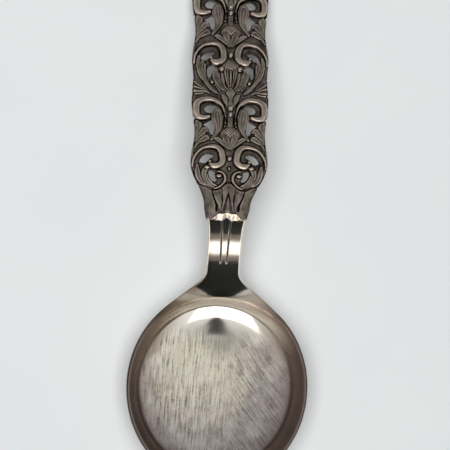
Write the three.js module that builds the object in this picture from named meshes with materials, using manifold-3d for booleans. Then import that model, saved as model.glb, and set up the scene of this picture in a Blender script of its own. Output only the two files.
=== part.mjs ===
// A silver serving spoon: a round bowl on a plain neck, and an openwork handle of scrolls and leaves.
// It lies bowl up on a table. Millimetres, +Z up, +Y along the handle, +X to the right.
// The origin is the middle of the flat foot under the bowl.
import * as THREE from "three";
import { mergeVertices } from "three/addons/utils/BufferGeometryUtils.js";
import Module from "manifold-3d";

const wasm = await Module();
wasm.setup();

// Bowl
const bowlWidth = 55;
const bowlLength = 60;
const bowlHeight = 12.5;
const bowlWall = 1.2;
const rimWidth = 0.9;
const rimWidthAtNeck = 1.8;
const footWidth = 14;
const floorDish = 0.9;
const floorCurve = 5;
const wallCurve = 16;

// Neck and tang, forged in one with the bowl
const neckWidth = 10.3;
const neckThickness = 2.4;
const neckLength = 20.9;
const neckFlare = 0.6;
const shoulderLength = 12.1;
const shoulderOnBowl = 6.6;
const reedWidth = 3.2;
const reedTipWidth = 1.5;
const reedLength = 13.5;
const grooveWidth = 0.6;
const grooveDepth = 0.3;
const tangWidth = 5;
const tangThickness = 1.2;
const tangReach = 11;

// Leaf cuff, a sleeve over the tang that stands proud of the neck
const cuffLength = 9.6;
const cuffStep = 1.25;
const cuffFrontStep = 0.8;
const cuffBackStep = 0.3;
const cuffBevel = 1.1;
const panelFootWidth = 17.8;

// Handle panels: a carved front and a plain back, both pierced
const handleWidth = 23.2;
const waistInset = 1;
const dentInset = 0.4;
const frontThickness = 1;
const backThickness = 1.3;
const panelBevel = 0.35;
const unitPitch = 31.1;
const firstHeart = 9.4;
const lastHeart = 8.9;
const swellBelowHeart = 2;
const secondLyreLift = 1;
const heartCount = 3;

// Side view of the handle: it rises from the bowl to a crest and comes down to the table at its end
const crestHeight = 20;
const crestPastCuff = 2.5;
const tipLift = 0.2;
const handleCrown = 0.6;

// Height of the carving above its ground, and how deep it is rooted there
const scrollRise = 1.2;
const leafRise = 0.85;
const shellRise = 0.75;
const bossRise = 1;
const cuffLeafRise = 0.5;
const carvingRoot = 0.4;

// Soldered beads
const beadRadius = 0.62;
const largeBeadRadius = 0.75;
const beadSink = 0.2;

// Room for solder between pieces
const solderGap = 0.1;

// Where each piece begins along the handle
const bowlEndY = bowlLength / 2;
const shoulderFootY = bowlEndY - shoulderOnBowl;
const shoulderTopY = shoulderFootY + shoulderLength;
const cuffY = bowlEndY + neckLength;
const cuffTopY = cuffY + cuffLength;
const panelY = cuffTopY + solderGap;
const heartY = (unit) => panelY + firstHeart + unit * unitPitch;
const firstSwellY = heartY(0) - swellBelowHeart;
const lastSwellY = heartY(heartCount - 1) - swellBelowHeart;
const tipY = heartY(heartCount - 1) + lastHeart;
const crestY = cuffTopY + crestPastCuff;
const tangEndY = cuffTopY + tangReach;

const cuffFootWidth = neckWidth + 2 * cuffStep;
const cuffFront = neckThickness / 2 + cuffFrontStep;
const cuffBack = neckThickness / 2 + cuffBackStep;
const shoulderHeight = bowlHeight - neckThickness / 2;
const tipHeight = backThickness + tipLift;

// The ornament is drawn in millimetres on fields of these sizes, and fitted to the piece that carries it.
const drawnUnit = { width: 23.2, pitch: 31.1 };
const drawnCuff = { width: 12.8, length: 9.6 };

const heartField = (unit) => ({
  across: handleWidth / drawnUnit.width,
  along: unitPitch / drawnUnit.pitch,
  footY: heartY(unit),
  ground: frontThickness,
});

// The lyre over the second heart was set a little further up than the one over the first.
const lyreField = (unit) => ({
  ...heartField(unit),
  footY: heartY(unit) + (unit === 1 ? secondLyreLift : 0),
});

const cuffField = {
  across: cuffFootWidth / drawnCuff.width,
  along: cuffLength / drawnCuff.length,
  footY: cuffY,
  ground: 0.9 * cuffFront,
};

const fitted = (field, [x, y]) => new THREE.Vector2(x * field.across, field.footY + y * field.along);

const sides = [-1, 1];
const { lerp, smoothstep, degToRad } = THREE.MathUtils;
const ease = (from, to, t) => lerp(from, to, smoothstep(t, 0, 1));
const share = (value, from, to) => (value - from) / (to - from);

// The handle's bend

// Height of the middle of the neck and handle above the table.
function spineHeight(y) {
  if (y < crestY) return ease(shoulderHeight, crestHeight, share(y, shoulderFootY, crestY));
  return ease(crestHeight, tipHeight, share(y, crestY, tipY));
}

function spineSlope(y) {
  const step = 0.01;
  return (spineHeight(y + step) - spineHeight(y - step)) / (2 * step);
}

// A point on the bent handle: x across, y along the table, h above the middle.
function place(x, y, h) {
  const slope = spineSlope(y);
  const length = Math.hypot(1, slope);
  const drop = handleCrown * ((2 * x) / handleWidth) ** 2;
  return new THREE.Vector3(x, y - (h * slope) / length, spineHeight(y) - drop + h / length);
}

// Bends a flat geometry, whose z is the height h, onto the handle.
function bend(geometry) {
  const position = geometry.getAttribute("position");
  for (let i = 0; i < position.count; i++) {
    const point = place(position.getX(i), position.getY(i), position.getZ(i));
    position.setXYZ(i, point.x, point.y, point.z);
  }
  return geometry;
}

// Solids

// A closed geometry as a solid that can be joined and cut.
function solid(geometry) {
  const bare = new THREE.BufferGeometry();
  bare.setAttribute("position", geometry.getAttribute("position"));
  bare.setIndex(geometry.index);
  const merged = mergeVertices(bare, 1e-4);
  const mesh = new wasm.Mesh({
    numProp: 3,
    vertProperties: new Float32Array(merged.getAttribute("position").array),
    triVerts: new Uint32Array(merged.index.array),
  });
  return new wasm.Manifold(mesh);
}

const joined = (solids) => solids.reduce((whole, next) => whole.add(next));

// A named mesh of a finished solid.
function piece(name, body, material) {
  const { numProp, vertProperties, triVerts } = body.getMesh();
  const vertices = new THREE.InterleavedBuffer(vertProperties, numProp);
  const geometry = new THREE.BufferGeometry();
  geometry.setAttribute("position", new THREE.InterleavedBufferAttribute(vertices, 3, 0));
  geometry.setIndex(new THREE.BufferAttribute(triVerts, 1));
  const faceted = geometry.toNonIndexed();
  faceted.computeVertexNormals();
  const mesh = new THREE.Mesh(faceted, material);
  mesh.name = name;
  return mesh;
}

// A closed skin over a row of rings of equal count, each turning right-handed about the way it advances.
function loft(rings) {
  const count = rings[0].length;
  const last = (rings.length - 1) * count;
  const faces = [];
  for (let ring = 0; ring + 1 < rings.length; ring++) {
    for (let i = 0; i < count; i++) {
      const a = ring * count + i;
      const b = ring * count + ((i + 1) % count);
      faces.push(a, b, b + count, a, b + count, a + count);
    }
  }
  for (let i = 1; i + 1 < count; i++) {
    faces.push(0, i + 1, i, last, last + i, last + i + 1);
  }
  return new THREE.BufferGeometry().setFromPoints(rings.flat()).setIndex(faces);
}

// A bar of rectangular section that follows the handle's bend.
function bar(width, thickness, fromY, toY) {
  const rings = [];
  const longestStep = 2.5;
  const steps = Math.ceil((toY - fromY) / longestStep);
  const w = width / 2;
  const h = thickness / 2;
  for (let i = 0; i <= steps; i++) {
    const y = lerp(fromY, toY, i / steps);
    rings.push([place(-w, y, -h), place(-w, y, h), place(w, y, h), place(w, y, -h)]);
  }
  return solid(loft(rings));
}

// Bowl and neck

// A filled bowl: a flat foot and a dished floor, then a steep wall, and straight on up to its top.
function bowlBody(rimRadius, floor, top) {
  const steps = 9;
  const crowding = 1.8;
  const profile = [new THREE.Vector2(0, floor)];
  for (let i = 0; i <= steps; i++) {
    const t = 1 - (1 - i / steps) ** crowding;
    const wall = (t ** floorCurve + t ** wallCurve) / 2;
    const height = floor + floorDish * t ** 2 + (bowlHeight - floor - floorDish) * wall;
    profile.push(new THREE.Vector2(lerp(footWidth / 2, rimRadius, t), height));
  }
  if (top > bowlHeight) profile.push(new THREE.Vector2(rimRadius, top));
  profile.push(new THREE.Vector2(0, top));
  const lathe = new THREE.LatheGeometry(profile, 40);
  lathe.rotateX(Math.PI / 2);
  lathe.scale(1, bowlLength / bowlWidth, 1);
  return lathe;
}

// What is scooped out of the bowl. It stops short of the neck, where the rim is wider.
function bowlHollow() {
  const body = bowlBody(bowlWidth / 2 - rimWidth, bowlWall, bowlHeight + crestHeight);
  const reach = (bowlLength / 2) * (1 - (2 * rimWidth) / bowlWidth);
  const shortened = (bowlLength / 2 - rimWidthAtNeck) / reach;
  const position = body.getAttribute("position");
  for (let i = 0; i < position.count; i++) {
    const y = position.getY(i);
    position.setY(i, y > 0 ? y * shortened : y);
  }
  return solid(body);
}

// Half-width of the bowl's rim at y, and how fast it changes there.
const rimHalfWidth = (y) => (bowlWidth / 2) * Math.sqrt(1 - (y / (bowlLength / 2)) ** 2);
const rimSlope = (y) => (-((bowlWidth / bowlLength) ** 2) * y) / rimHalfWidth(y);

// One edge of the neck from above: it leaves the rim in a sweep, runs straight and flares at the cuff.
function neckEdge(side) {
  const half = neckWidth / 2;
  const rim = rimHalfWidth(shoulderFootY);
  const rimLean = 0.63 * shoulderLength;
  const neckLean = 0.27 * shoulderLength;
  const flareY = lerp(shoulderTopY, cuffY, 0.6);
  const edge = new THREE.Path();
  edge.moveTo(side * rim, shoulderFootY);
  edge.bezierCurveTo(
    side * (rim + rimSlope(shoulderFootY) * rimLean),
    shoulderFootY + rimLean,
    side * half,
    shoulderTopY - neckLean,
    side * half,
    shoulderTopY,
  );
  edge.lineTo(side * half, flareY);
  edge.quadraticCurveTo(side * half, lerp(flareY, cuffY, 0.7), side * (half + neckFlare), cuffY);
  edge.lineTo(side * (half + neckFlare), cuffY + neckThickness);
  return edge.getPoints(9);
}

// The neck from the side: a strip along the spine, as thin as the bowl's wall where it meets the rim.
function neckStrip() {
  const steps = 16;
  const top = [];
  const under = [];
  for (let i = 0; i <= steps; i++) {
    const y = lerp(shoulderFootY - bowlWall, cuffY + neckThickness, i / steps);
    const surface = spineHeight(y) + neckThickness / 2;
    const thickness = ease(bowlWall, neckThickness, share(y, shoulderFootY, shoulderTopY));
    top.push(new THREE.Vector2(y, surface));
    under.push(new THREE.Vector2(y, surface - thickness));
  }
  return new THREE.Shape([...under, ...top.reverse()]);
}

// The two engraved lines of the reed, which close in and run out towards the bowl.
function reedGroove(side) {
  const rings = [];
  const steps = 6;
  const top = neckThickness / 2;
  for (let i = 0; i <= steps; i++) {
    const t = i / steps;
    const y = lerp(cuffY - reedLength, cuffY + grooveWidth, t);
    const x = (side * lerp(reedTipWidth, reedWidth, t)) / 2;
    const opened = smoothstep(t, -0.1, 0.3);
    const half = (grooveWidth / 2) * opened;
    const over = place(0, y, top + grooveDepth);
    const floor = place(0, y, top - grooveDepth * opened);
    rings.push([over.clone().setX(x - half), over.clone().setX(x + half), floor.setX(x)]);
  }
  return solid(loft(rings));
}

function bowlAndNeck() {
  const edgePoints = [...neckEdge(1), ...neckEdge(-1).reverse()];
  const plan = new THREE.ExtrudeGeometry(new THREE.Shape(edgePoints), {
    depth: bowlHeight + crestHeight,
    bevelEnabled: false,
  });
  const strip = new THREE.ExtrudeGeometry(neckStrip(), { depth: bowlWidth, bevelEnabled: false });
  strip.translate(0, 0, -bowlWidth / 2);
  strip.rotateY(Math.PI / 2);
  strip.rotateX(Math.PI / 2);
  const pastNeck = bar(2 * neckWidth, 4 * neckThickness, cuffY, cuffTopY);
  const neck = solid(plan).intersect(solid(strip)).subtract(pastNeck);
  const outer = solid(bowlBody(bowlWidth / 2, 0, bowlHeight));
  const tang = bar(tangWidth, tangThickness, cuffY - neckThickness, tangEndY);
  const forged = outer.add(neck).subtract(bowlHollow()).add(tang);
  return sides.reduce((body, side) => body.subtract(reedGroove(side)), forged);
}

// The socket that the cuff and the two panels leave for the tang.
const tangSocket = () =>
  bar(tangWidth + 2 * solderGap, tangThickness + 2 * solderGap, cuffY - solderGap, tangEndY + solderGap);

// Carving

const scrollSection = [
  [-1, 0],
  [-0.5, 0.9],
  [0.5, 0.9],
  [1, 0],
];
const leafSection = [
  [-1, 0],
  [0, 1],
  [1, 0],
];

// A ridge along a curve. width and rise are functions of the share of the way along it.
function ridge(curve, side, { steps, width, rise, section, ground }) {
  const rings = [];
  for (let i = 0; i <= steps; i++) {
    const t = i / steps;
    const point = curve.getPoint(t);
    const along = curve.getTangent(t);
    const half = width(t) / 2;
    const ring = section.map(([across, up]) => {
      const x = side * point.x + across * half * along.y;
      const y = point.y - across * half * side * along.x;
      const root = up > 0 ? 0 : carvingRoot;
      return place(x, y, ground - root + up * rise(t));
    });
    rings.push(ring);
  }
  return solid(loft(rings));
}

// A scroll that turns about its eye at an even radius, then unwinds into a tail. Angles are in degrees.
class Scroll extends THREE.Curve {
  constructor(field, shape) {
    super();
    Object.assign(this, { field, ...shape });
  }
  getPoint(t) {
    const swept = t * Math.abs(this.turn);
    const unwound = Math.max(0, swept - this.even) / 180;
    const radius = this.radius + this.growth * unwound ** 2;
    const angle = degToRad(this.start + Math.sign(this.turn) * swept);
    const [x, y] = this.eye;
    return fitted(this.field, [x + radius * Math.cos(angle), y + radius * Math.sin(angle)]);
  }
}

const heartScroll = { eye: [4.85, -0.2], radius: 2.8, start: -62, turn: -318, even: 140, growth: 3.7 };
const lyreScroll = { eye: [7.4, 13.95], radius: 2.8, start: -106, turn: 322, even: 150, growth: 5.1 };
const footScroll = { eye: [2.45, -5.8], radius: 1.5, start: 60, turn: 250, even: 150, growth: 3 };

// Scrolls are full and blunt round the eye and taper along the tail.
function scroll(field, shape, fullWidth, steps) {
  const tailWidth = 0.25 * fullWidth;
  const width = (t) => lerp(tailWidth, fullWidth, smoothstep(1 - t, 0.15, 0.75) * Math.min(1, 0.55 + 4 * t));
  const rise = (t) => scrollRise * lerp(0.45, 1, smoothstep(1 - t, 0, 0.7));
  const curve = new Scroll(field, shape);
  const form = { steps, width, rise, section: scrollSection, ground: field.ground };
  return sides.map((side) => ridge(curve, side, form));
}

// A leaf blade through a few points, each [x, y, width]. One that isn't on the middle line comes as a pair.
function blade(field, points, rise) {
  const curve = new THREE.SplineCurve(points.map((point) => fitted(field, point)));
  const width = (t) => {
    const spot = t * (points.length - 1);
    const first = Math.min(Math.floor(spot), points.length - 2);
    return field.across * ease(points[first][2], points[first + 1][2], spot - first);
  };
  const height = (t) => rise * lerp(0.55, 1, Math.sin(Math.PI * Math.min(1, 0.2 + t)));
  const form = { steps: points.length, width, rise: height, section: leafSection, ground: field.ground };
  const onMiddle = points.every(([x]) => x === 0);
  return (onMiddle ? [1] : sides).map((side) => ridge(curve, side, form));
}

// A low dome on the middle line.
function dome(field, y, halfWidth, halfLength, rise) {
  const ball = new THREE.SphereGeometry(1, 10, 5);
  const centre = fitted(field, [0, y]);
  ball.scale(halfWidth * field.across, halfLength * field.along, rise);
  ball.translate(centre.x, centre.y, field.ground);
  return solid(bend(ball));
}

// The sides of a heart: long leaves that hang from the scroll and run in to the point.
const heartLeaves = [
  [[9.2, -0.9, 0.5], [10.2, -3, 1.5], [9.6, -6, 1.3], [7.5, -9, 1.1], [3.9, -12, 0.5]],
  [[6.5, -2.2, 0.4], [8.2, -3.2, 1.4], [8.4, -5.6, 1.2], [7, -8.4, 0.9], [4.8, -10.8, 0.4]],
];

// The lowest heart is shorter: its leaves sweep round into a small scroll on each side.
const footLeaves = [
  [[9.2, -2, 0.5], [10.2, -4, 1.6], [9.7, -6.3, 1.5], [7.9, -8.2, 1.2], [3.2, -9, 0.6]],
  [[6.8, -2.9, 0.4], [7.9, -4.6, 1.3], [7.5, -6.5, 1.1], [6, -7.9, 0.8], [3.8, -8.3, 0.4]],
];

const palmetteLeaves = [
  [[0.1, 1.2, 0.3], [0.5, 3.4, 1.1], [1.2, 5.3, 1.4], [1.5, 6, 0.5]],
  [[0.2, 1.7, 0.3], [1.7, 4.1, 1], [3.1, 5.1, 1.2], [4.6, 5.1, 0.5]],
];

const lyreLeaves = [
  [[3.1, 13.3, 0.4], [2.6, 11.6, 1.5], [2.6, 9.8, 1.3], [3.4, 7.4, 1], [5.4, 4.9, 0.4]],
  [[5.4, 12, 0.8], [4.3, 11.3, 1.6], [4, 9.6, 1.2], [4.1, 7.7, 0.8], [5, 5.6, 0.3]],
];

// Leaves along the edge between a heart and the lyre above it.
const edgeLeaves = [
  [[10.1, 9.8, 0.4], [9.8, 8.4, 1.9], [10.3, 6, 1.1], [10.8, 3.4, 0.4]],
  [[6.9, 7.3, 0.5], [8, 7, 1.7], [9.3, 5.5, 1], [10.3, 3.8, 0.4]],
  [[6.4, 4.9, 0.5], [7.6, 4.8, 1.4], [9.2, 3.8, 0.9], [10.4, 2.2, 0.4]],
];

const budLeaves = [
  [[0, 15.3, 1.6], [0, 17.3, 1.2], [0, 19.1, 2.8], [0, 20.7, 0.3]],
  [[0.5, 16, 0.5], [1.3, 17.4, 1], [2.4, 18.5, 0.5]],
];

const shellRibs = [
  [[0, 20.8, 0.5], [0, 24, 0.9], [0, 26.8, 0.9]],
  [[0.3, 20.8, 0.4], [1, 24, 1], [1.6, 26.4, 1]],
  [[1.1, 20.6, 0.4], [3.2, 22.7, 1.2], [4.9, 25, 1]],
  [[1.6, 19.9, 0.4], [3.9, 22.2, 1.1], [5.4, 24.4, 0.8]],
];

const sprigs = [[[6.4, 18.6, 0.4], [9, 19.4, 1.3], [11, 21, 0.5]]];

// Leaves that close the end of the handle over the last heart.
const endLeaves = [
  [[10.4, 1, 0.4], [9.2, 4.2, 1.5], [6.4, 6.6, 1.6], [3.2, 7.6, 0.6]],
  [[7.6, 4.6, 0.4], [5.4, 5.9, 1.2], [3, 6.6, 0.5]],
];

// Everything carved on the front above the ground, heart by heart.
function carving() {
  const solids = [];
  for (let unit = 0; unit < heartCount; unit++) {
    const field = heartField(unit);
    const lyre = lyreField(unit);
    const isFirst = unit === 0;
    const isLast = unit === heartCount - 1;
    const leaves = (on, list, rise) => list.forEach((points) => solids.push(...blade(on, points, rise)));
    leaves(field, isFirst ? footLeaves : heartLeaves, leafRise);
    leaves(field, palmetteLeaves, leafRise);
    solids.push(...scroll(field, heartScroll, 2.2, 12));
    solids.push(dome(field, 6, 2.7, 2.6, bossRise));
    if (isFirst) solids.push(...scroll(field, footScroll, 1.2, 8));
    if (isLast) {
      leaves(field, endLeaves, leafRise);
      continue;
    }
    leaves(lyre, [...edgeLeaves, ...lyreLeaves], leafRise);
    leaves(field, [...budLeaves, ...sprigs], leafRise);
    leaves(field, shellRibs, shellRise);
    solids.push(...scroll(lyre, lyreScroll, 2.2, 12));
    solids.push(dome(field, 27.2, 2.4, 1.9, shellRise));
  }
  return joined(solids);
}

// Piercings, each a closed curve through a few points of the field, on both sides.
const heartHole = [[4.75, -0.2], [6.3, 0.35], [7.95, -0.3], [9, -1.9], [7.9, -2.45], [6.7, -2], [5.7, -0.9]];
const shellHole = [[5.8, -3.7], [7, -4.6], [7.1, -6.3], [6.7, -7.8], [5.7, -6.5], [3.9, -5], [4.8, -4.1]];
const footHole = [[6.1, -4.8], [4.9, -4.75], [4.2, -5.4], [4.05, -6.7], [3.7, -7.7], [5.2, -7.4], [6, -6.2]];
const lyreHole = [[7.75, 13.7], [7.1, 14.9], [5.9, 15.25], [4.3, 14.7], [3.75, 13.4], [5.5, 12.6]];
const leafHole = [[8.05, 9.1], [6.1, 10.4], [5.2, 10.2], [4.6, 8.5], [5.3, 6.1], [6.3, 7.2], [7.1, 8.4]];

function holes(field, points) {
  const depth = 4 * (frontThickness + backThickness);
  const corners = points.map((point) => fitted(field, point));
  const curve = new THREE.CatmullRomCurve3(corners.map(({ x, y }) => new THREE.Vector3(x, y, 0)), true);
  const outline = curve.getPoints(points.length + 1).slice(0, -1);
  return sides.map((side) => {
    const shape = new THREE.Shape(outline.map(({ x, y }) => new THREE.Vector2(side * x, y)));
    const prism = new THREE.ExtrudeGeometry(shape, { depth, bevelEnabled: false });
    prism.translate(0, 0, -depth / 2);
    return solid(bend(prism));
  });
}

function piercings() {
  const cuts = [];
  for (let unit = 0; unit < heartCount; unit++) {
    const field = heartField(unit);
    const lyre = lyreField(unit);
    cuts.push(...holes(field, heartHole), ...holes(field, unit === 0 ? footHole : shellHole));
    if (unit < heartCount - 1) cuts.push(...holes(lyre, lyreHole), ...holes(lyre, leafHole));
  }
  return joined(cuts);
}

// Handle panels

// Half-width at y. It swells at each heart and lyre, draws in between, and rounds off at the end.
function panelHalfWidth(y) {
  const swell = handleWidth / 2;
  if (y < firstSwellY) {
    const risen = Math.sin((Math.PI / 2) * share(y, panelY, firstSwellY));
    return lerp(panelFootWidth / 2, swell, risen);
  }
  if (y >= lastSwellY) {
    const bluntEnd = 0.02;
    return swell * Math.max(bluntEnd, Math.sqrt(Math.max(0, 1 - share(y, lastSwellY, tipY) ** 2)));
  }
  const stops = [
    [0, swell],
    [0.27, swell - waistInset],
    [0.58, swell],
    [0.83, swell - dentInset],
    [1, swell],
  ];
  const along = ((y - firstSwellY) / unitPitch) % 1;
  const next = stops.findIndex(([at]) => at > along);
  const [fromAt, from] = stops[next - 1];
  const [toAt, to] = stops[next];
  return ease(from, to, share(along, fromAt, toAt));
}

// A sheet with the panels' outline between two heights, each with its own bevel round the edge.
function sheet(low, lowBevel, high, highBevel) {
  const rowLength = 5.5;
  const rows = Math.ceil((lastSwellY - panelY) / rowLength);
  const endRows = 6;
  const ys = [];
  for (let i = 0; i < rows; i++) ys.push(lerp(panelY, lastSwellY, i / rows));
  for (let i = 0; i <= endRows; i++) {
    ys.push(lerp(lastSwellY, tipY, Math.sin((Math.PI / 2) * (i / endRows))));
  }
  const rings = ys.map((y) => {
    const half = panelHalfWidth(y);
    const line = (h, bevel) => [-1, 0, 1].map((u) => place(u * (half - Math.min(bevel, half / 2)), y, h));
    return [...line(high, highBevel), ...line(low, lowBevel).reverse()];
  });
  return solid(loft(rings));
}

// Beads, each with its name, field, place on the field and radius.
function beadList() {
  const list = [];
  for (let unit = 0; unit < heartCount; unit++) {
    const number = unit + 1;
    const field = heartField(unit);
    list.push({ name: `heart_bead_${number}`, field, at: [0, -0.8], radius: beadRadius });
    if (unit === heartCount - 1) continue;
    list.push({ name: `lyre_bead_large_${number}`, field, at: [0, 14.1], radius: largeBeadRadius });
    list.push({ name: `lyre_bead_small_${number}`, field, at: [0, 12.3], radius: beadRadius });
    list.push({ name: `shell_bead_left_${number}`, field, at: [-2.75, 26], radius: beadRadius });
    list.push({ name: `shell_bead_right_${number}`, field, at: [2.75, 26], radius: beadRadius });
  }
  return list;
}

function bead({ field, at, radius }, clearance) {
  const ball = new THREE.SphereGeometry(radius + clearance, 8, 5);
  const spot = fitted(field, at);
  const centre = place(spot.x, spot.y, field.ground + radius - beadSink);
  ball.translate(centre.x, centre.y, centre.z);
  return solid(ball);
}

function handleFront() {
  const ground = sheet(solderGap / 2, 0, frontThickness, panelBevel).subtract(piercings());
  const seats = joined(beadList().map((entry) => bead(entry, solderGap)));
  const belowFoot = bar(2 * handleWidth, 8 * frontThickness, cuffY, panelY);
  return ground.add(carving()).subtract(seats).subtract(belowFoot).subtract(tangSocket());
}

function handleBack() {
  return sheet(-backThickness, panelBevel, -solderGap / 2, 0).subtract(piercings()).subtract(tangSocket());
}

// Leaf cuff

// The spear on the middle line, then a tongue and an outer leaf on each side.
const cuffLeaves = [
  [[0, 2.6, 1.8], [0, 5.2, 1], [0, 7.4, 0.3]],
  [[1.8, 2.6, 0.8], [2.2, 5, 1.6], [3.1, 7.6, 2.3], [3.3, 8.7, 0.7]],
  [[5.2, 1.3, 0.6], [5.2, 4, 1.7], [5.6, 6.6, 1.9], [6.8, 9, 0.9]],
];

function leafCuff() {
  const rings = [];
  const stations = [0, 0.12, 0.28, 0.46, 0.64, 0.82, 1];
  const points = 20;
  for (const t of stations) {
    const y = lerp(cuffY + solderGap, cuffTopY, t);
    const inset = t === 0 ? cuffBevel / 2 : 0;
    const half = lerp(cuffFootWidth, panelFootWidth, t ** 2.2) / 2 - inset;
    const ring = [];
    for (let i = 0; i < points; i++) {
      const angle = Math.PI - (2 * Math.PI * i) / points;
      const across = Math.sign(Math.cos(angle)) * Math.abs(Math.cos(angle)) ** 0.6;
      const up = Math.sign(Math.sin(angle)) * Math.abs(Math.sin(angle)) ** 0.5;
      const depth = up > 0 ? cuffFront - inset : cuffBack - inset;
      ring.push(place(across * half, y, up * depth));
    }
    rings.push(ring);
  }
  const leaves = cuffLeaves.flatMap((leaf) => blade(cuffField, leaf, cuffLeafRise));
  return solid(loft(rings)).add(joined(leaves)).subtract(tangSocket());
}

// Tarnished silver: brushed on the bowl, dark in the carving, plain on the back and bright on the beads

const brushed = { color: 0xb9aea8, metalness: 1, roughness: 0.36 };
const oxidised = { color: 0x8c817b, metalness: 1, roughness: 0.45 };
const plain = { color: 0xa69c97, metalness: 1, roughness: 0.4 };
const bright = { color: 0xcfc6bf, metalness: 1, roughness: 0.28 };

const finish = (look) => new THREE.MeshStandardMaterial(look);

const spoon = new THREE.Group();
spoon.add(piece("bowl_and_neck", bowlAndNeck(), finish(brushed)));
spoon.add(piece("leaf_cuff", leafCuff(), finish(oxidised)));
spoon.add(piece("handle_front", handleFront(), finish(oxidised)));
spoon.add(piece("handle_back", handleBack(), finish(plain)));
for (const entry of beadList()) spoon.add(piece(entry.name, bead(entry, 0), finish(bright)));

export default spoon;
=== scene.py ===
import math

import bpy
import numpy as np
from mathutils import Matrix, Vector
from mathutils.geometry import delaunay_2d_cdt


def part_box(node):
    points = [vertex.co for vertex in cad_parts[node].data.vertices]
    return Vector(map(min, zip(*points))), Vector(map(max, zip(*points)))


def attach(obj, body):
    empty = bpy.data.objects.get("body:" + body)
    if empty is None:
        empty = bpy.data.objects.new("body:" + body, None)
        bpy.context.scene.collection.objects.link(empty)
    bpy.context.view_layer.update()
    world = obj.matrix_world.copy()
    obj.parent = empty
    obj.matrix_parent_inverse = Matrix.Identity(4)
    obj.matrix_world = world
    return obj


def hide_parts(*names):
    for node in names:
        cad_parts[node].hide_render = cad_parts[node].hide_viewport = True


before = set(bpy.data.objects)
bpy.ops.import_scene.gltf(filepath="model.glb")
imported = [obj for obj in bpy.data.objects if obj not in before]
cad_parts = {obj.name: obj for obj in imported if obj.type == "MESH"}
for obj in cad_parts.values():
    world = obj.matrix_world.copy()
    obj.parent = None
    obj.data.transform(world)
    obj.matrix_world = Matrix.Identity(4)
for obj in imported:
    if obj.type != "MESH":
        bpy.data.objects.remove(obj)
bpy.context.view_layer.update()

# Bowl and neck
# One forging of silver: a round bowl that runs without a seam into a flat neck with an engraved reed.
# It was hammered, filed and polished. Use has scratched the bowl, and its steep wall is coloured a darker
# brown.

MM = 0.001
bowl_low, bowl_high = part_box("bowl_and_neck")
bowl_width = (bowl_high.x - bowl_low.x) / MM
bowl_length = -2 * bowl_low.y / MM
bowl_height = 12.5
bowl_floor = 1.2
bowl_foot = 14.0
floor_dish = 0.9
floor_curve = 5
wall_curve = 16
rim_width = 0.9
rim_width_at_neck = 1.8
rim_edge = 0.45
lip_round = 0.6
edge_round = 0.4

neck_width = 10.3
neck_thickness = 2.4
neck_end = 50.9
neck_flare = 0.6
flare_from = 44.74
neck_in_cuff = 1.8
shoulder_foot = 23.4
shoulder_top = 35.5
sweep_pull_at_rim = 0.63
sweep_pull_at_neck = 0.27

root_from, root_full = 20.0, 25.0
root_fill = 0.85
root_fill_from, root_fill_to = 23.2, 26.6
root_crown = 0.0035
root_crown_end = 34.0
root_lip_round = 0.1
root_lip_from, root_lip_full = 16.0, 22.0

reed_from = 37.4
reed_half_widths = (0.9, 1.3)
reed_line_width = 0.2
reed_line_depth = 0.1
reed_run_in = (-0.02, 0.23)

handle_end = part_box("handle_back")[1].y / MM
crest_y = 63.0
crest_height = 20.0
tip_height = 1.5


def ease(share):
    """0 to 1 with a soft start and end."""
    share = np.clip(share, 0, 1)
    return share * share * (3 - 2 * share)


def climb(value, start, end):
    """0 up to the start and 1 from the end on, with a soft climb between."""
    return ease((value - start) / (end - start))


def blend(low, high, share):
    return low + (high - low) * share


def slope(line, y, step=0.01):
    """How steeply a line climbs at y."""
    return (line(y + step) - line(y - step)) / (2 * step)


def spine(y):
    """Height of the middle of the neck and handle above the table."""
    start = bowl_height - neck_thickness / 2
    risen = (crest_height - start) * climb(y, shoulder_foot, crest_y)
    fallen = (crest_height - tip_height) * climb(y, crest_y, handle_end)
    return start + risen - fallen


def rim_half(y):
    """Half-width of the bowl's rim at y."""
    return bowl_width / 2 * np.sqrt(np.clip(1 - (2 * y / bowl_length) ** 2, 0, 1))


def neck_half(y):
    """Half-width of the neck: it leaves the rim in a sweep, runs straight and flares at the cuff."""
    half = neck_width / 2
    foot = rim_half(shoulder_foot)
    foot_slope = -((bowl_width / bowl_length) ** 2) * shoulder_foot / foot
    rim_pull = sweep_pull_at_rim * (shoulder_top - shoulder_foot)
    neck_pull = sweep_pull_at_neck * (shoulder_top - shoulder_foot)
    t = np.linspace(0, 1, 60)
    weights = ((1 - t) ** 3, 3 * (1 - t) ** 2 * t, 3 * (1 - t) * t**2, t**3)
    pulls_x = (foot, foot + foot_slope * rim_pull, half, half)
    pulls_y = (shoulder_foot, shoulder_foot + rim_pull, shoulder_top - neck_pull, shoulder_top)
    sweep_x = sum(weight * pull for weight, pull in zip(weights, pulls_x))
    sweep_y = sum(weight * pull for weight, pull in zip(weights, pulls_y))
    flare = neck_flare * np.maximum((y - flare_from) / (neck_end - flare_from), 0) ** 2
    return np.interp(y, sweep_y, sweep_x) + flare


def soft_min(a, b, radius):
    """The lower of two heights, with the crease between them rounded off."""
    near = np.clip(radius - np.abs(a - b), 0, None) / radius
    return np.minimum(a, b) - near**2 * radius / 4


def bowl_share(x, y):
    """0 in the middle of the bowl, 1 on its rim."""
    return np.hypot(2 * x / bowl_width, 2 * y / bowl_length)


def bowl_section(radius, rim, foot_height):
    """Height of a bowl that stands on its foot, dishes out and rises steeply to the rim's inner edge."""
    out = np.maximum((radius - bowl_foot / 2) / ((bowl_width - bowl_foot) / 2 - rim), 0)
    wall = (out**floor_curve + out**wall_curve) / 2
    return foot_height + floor_dish * out**2 + (bowl_height - foot_height - floor_dish) * wall


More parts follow.
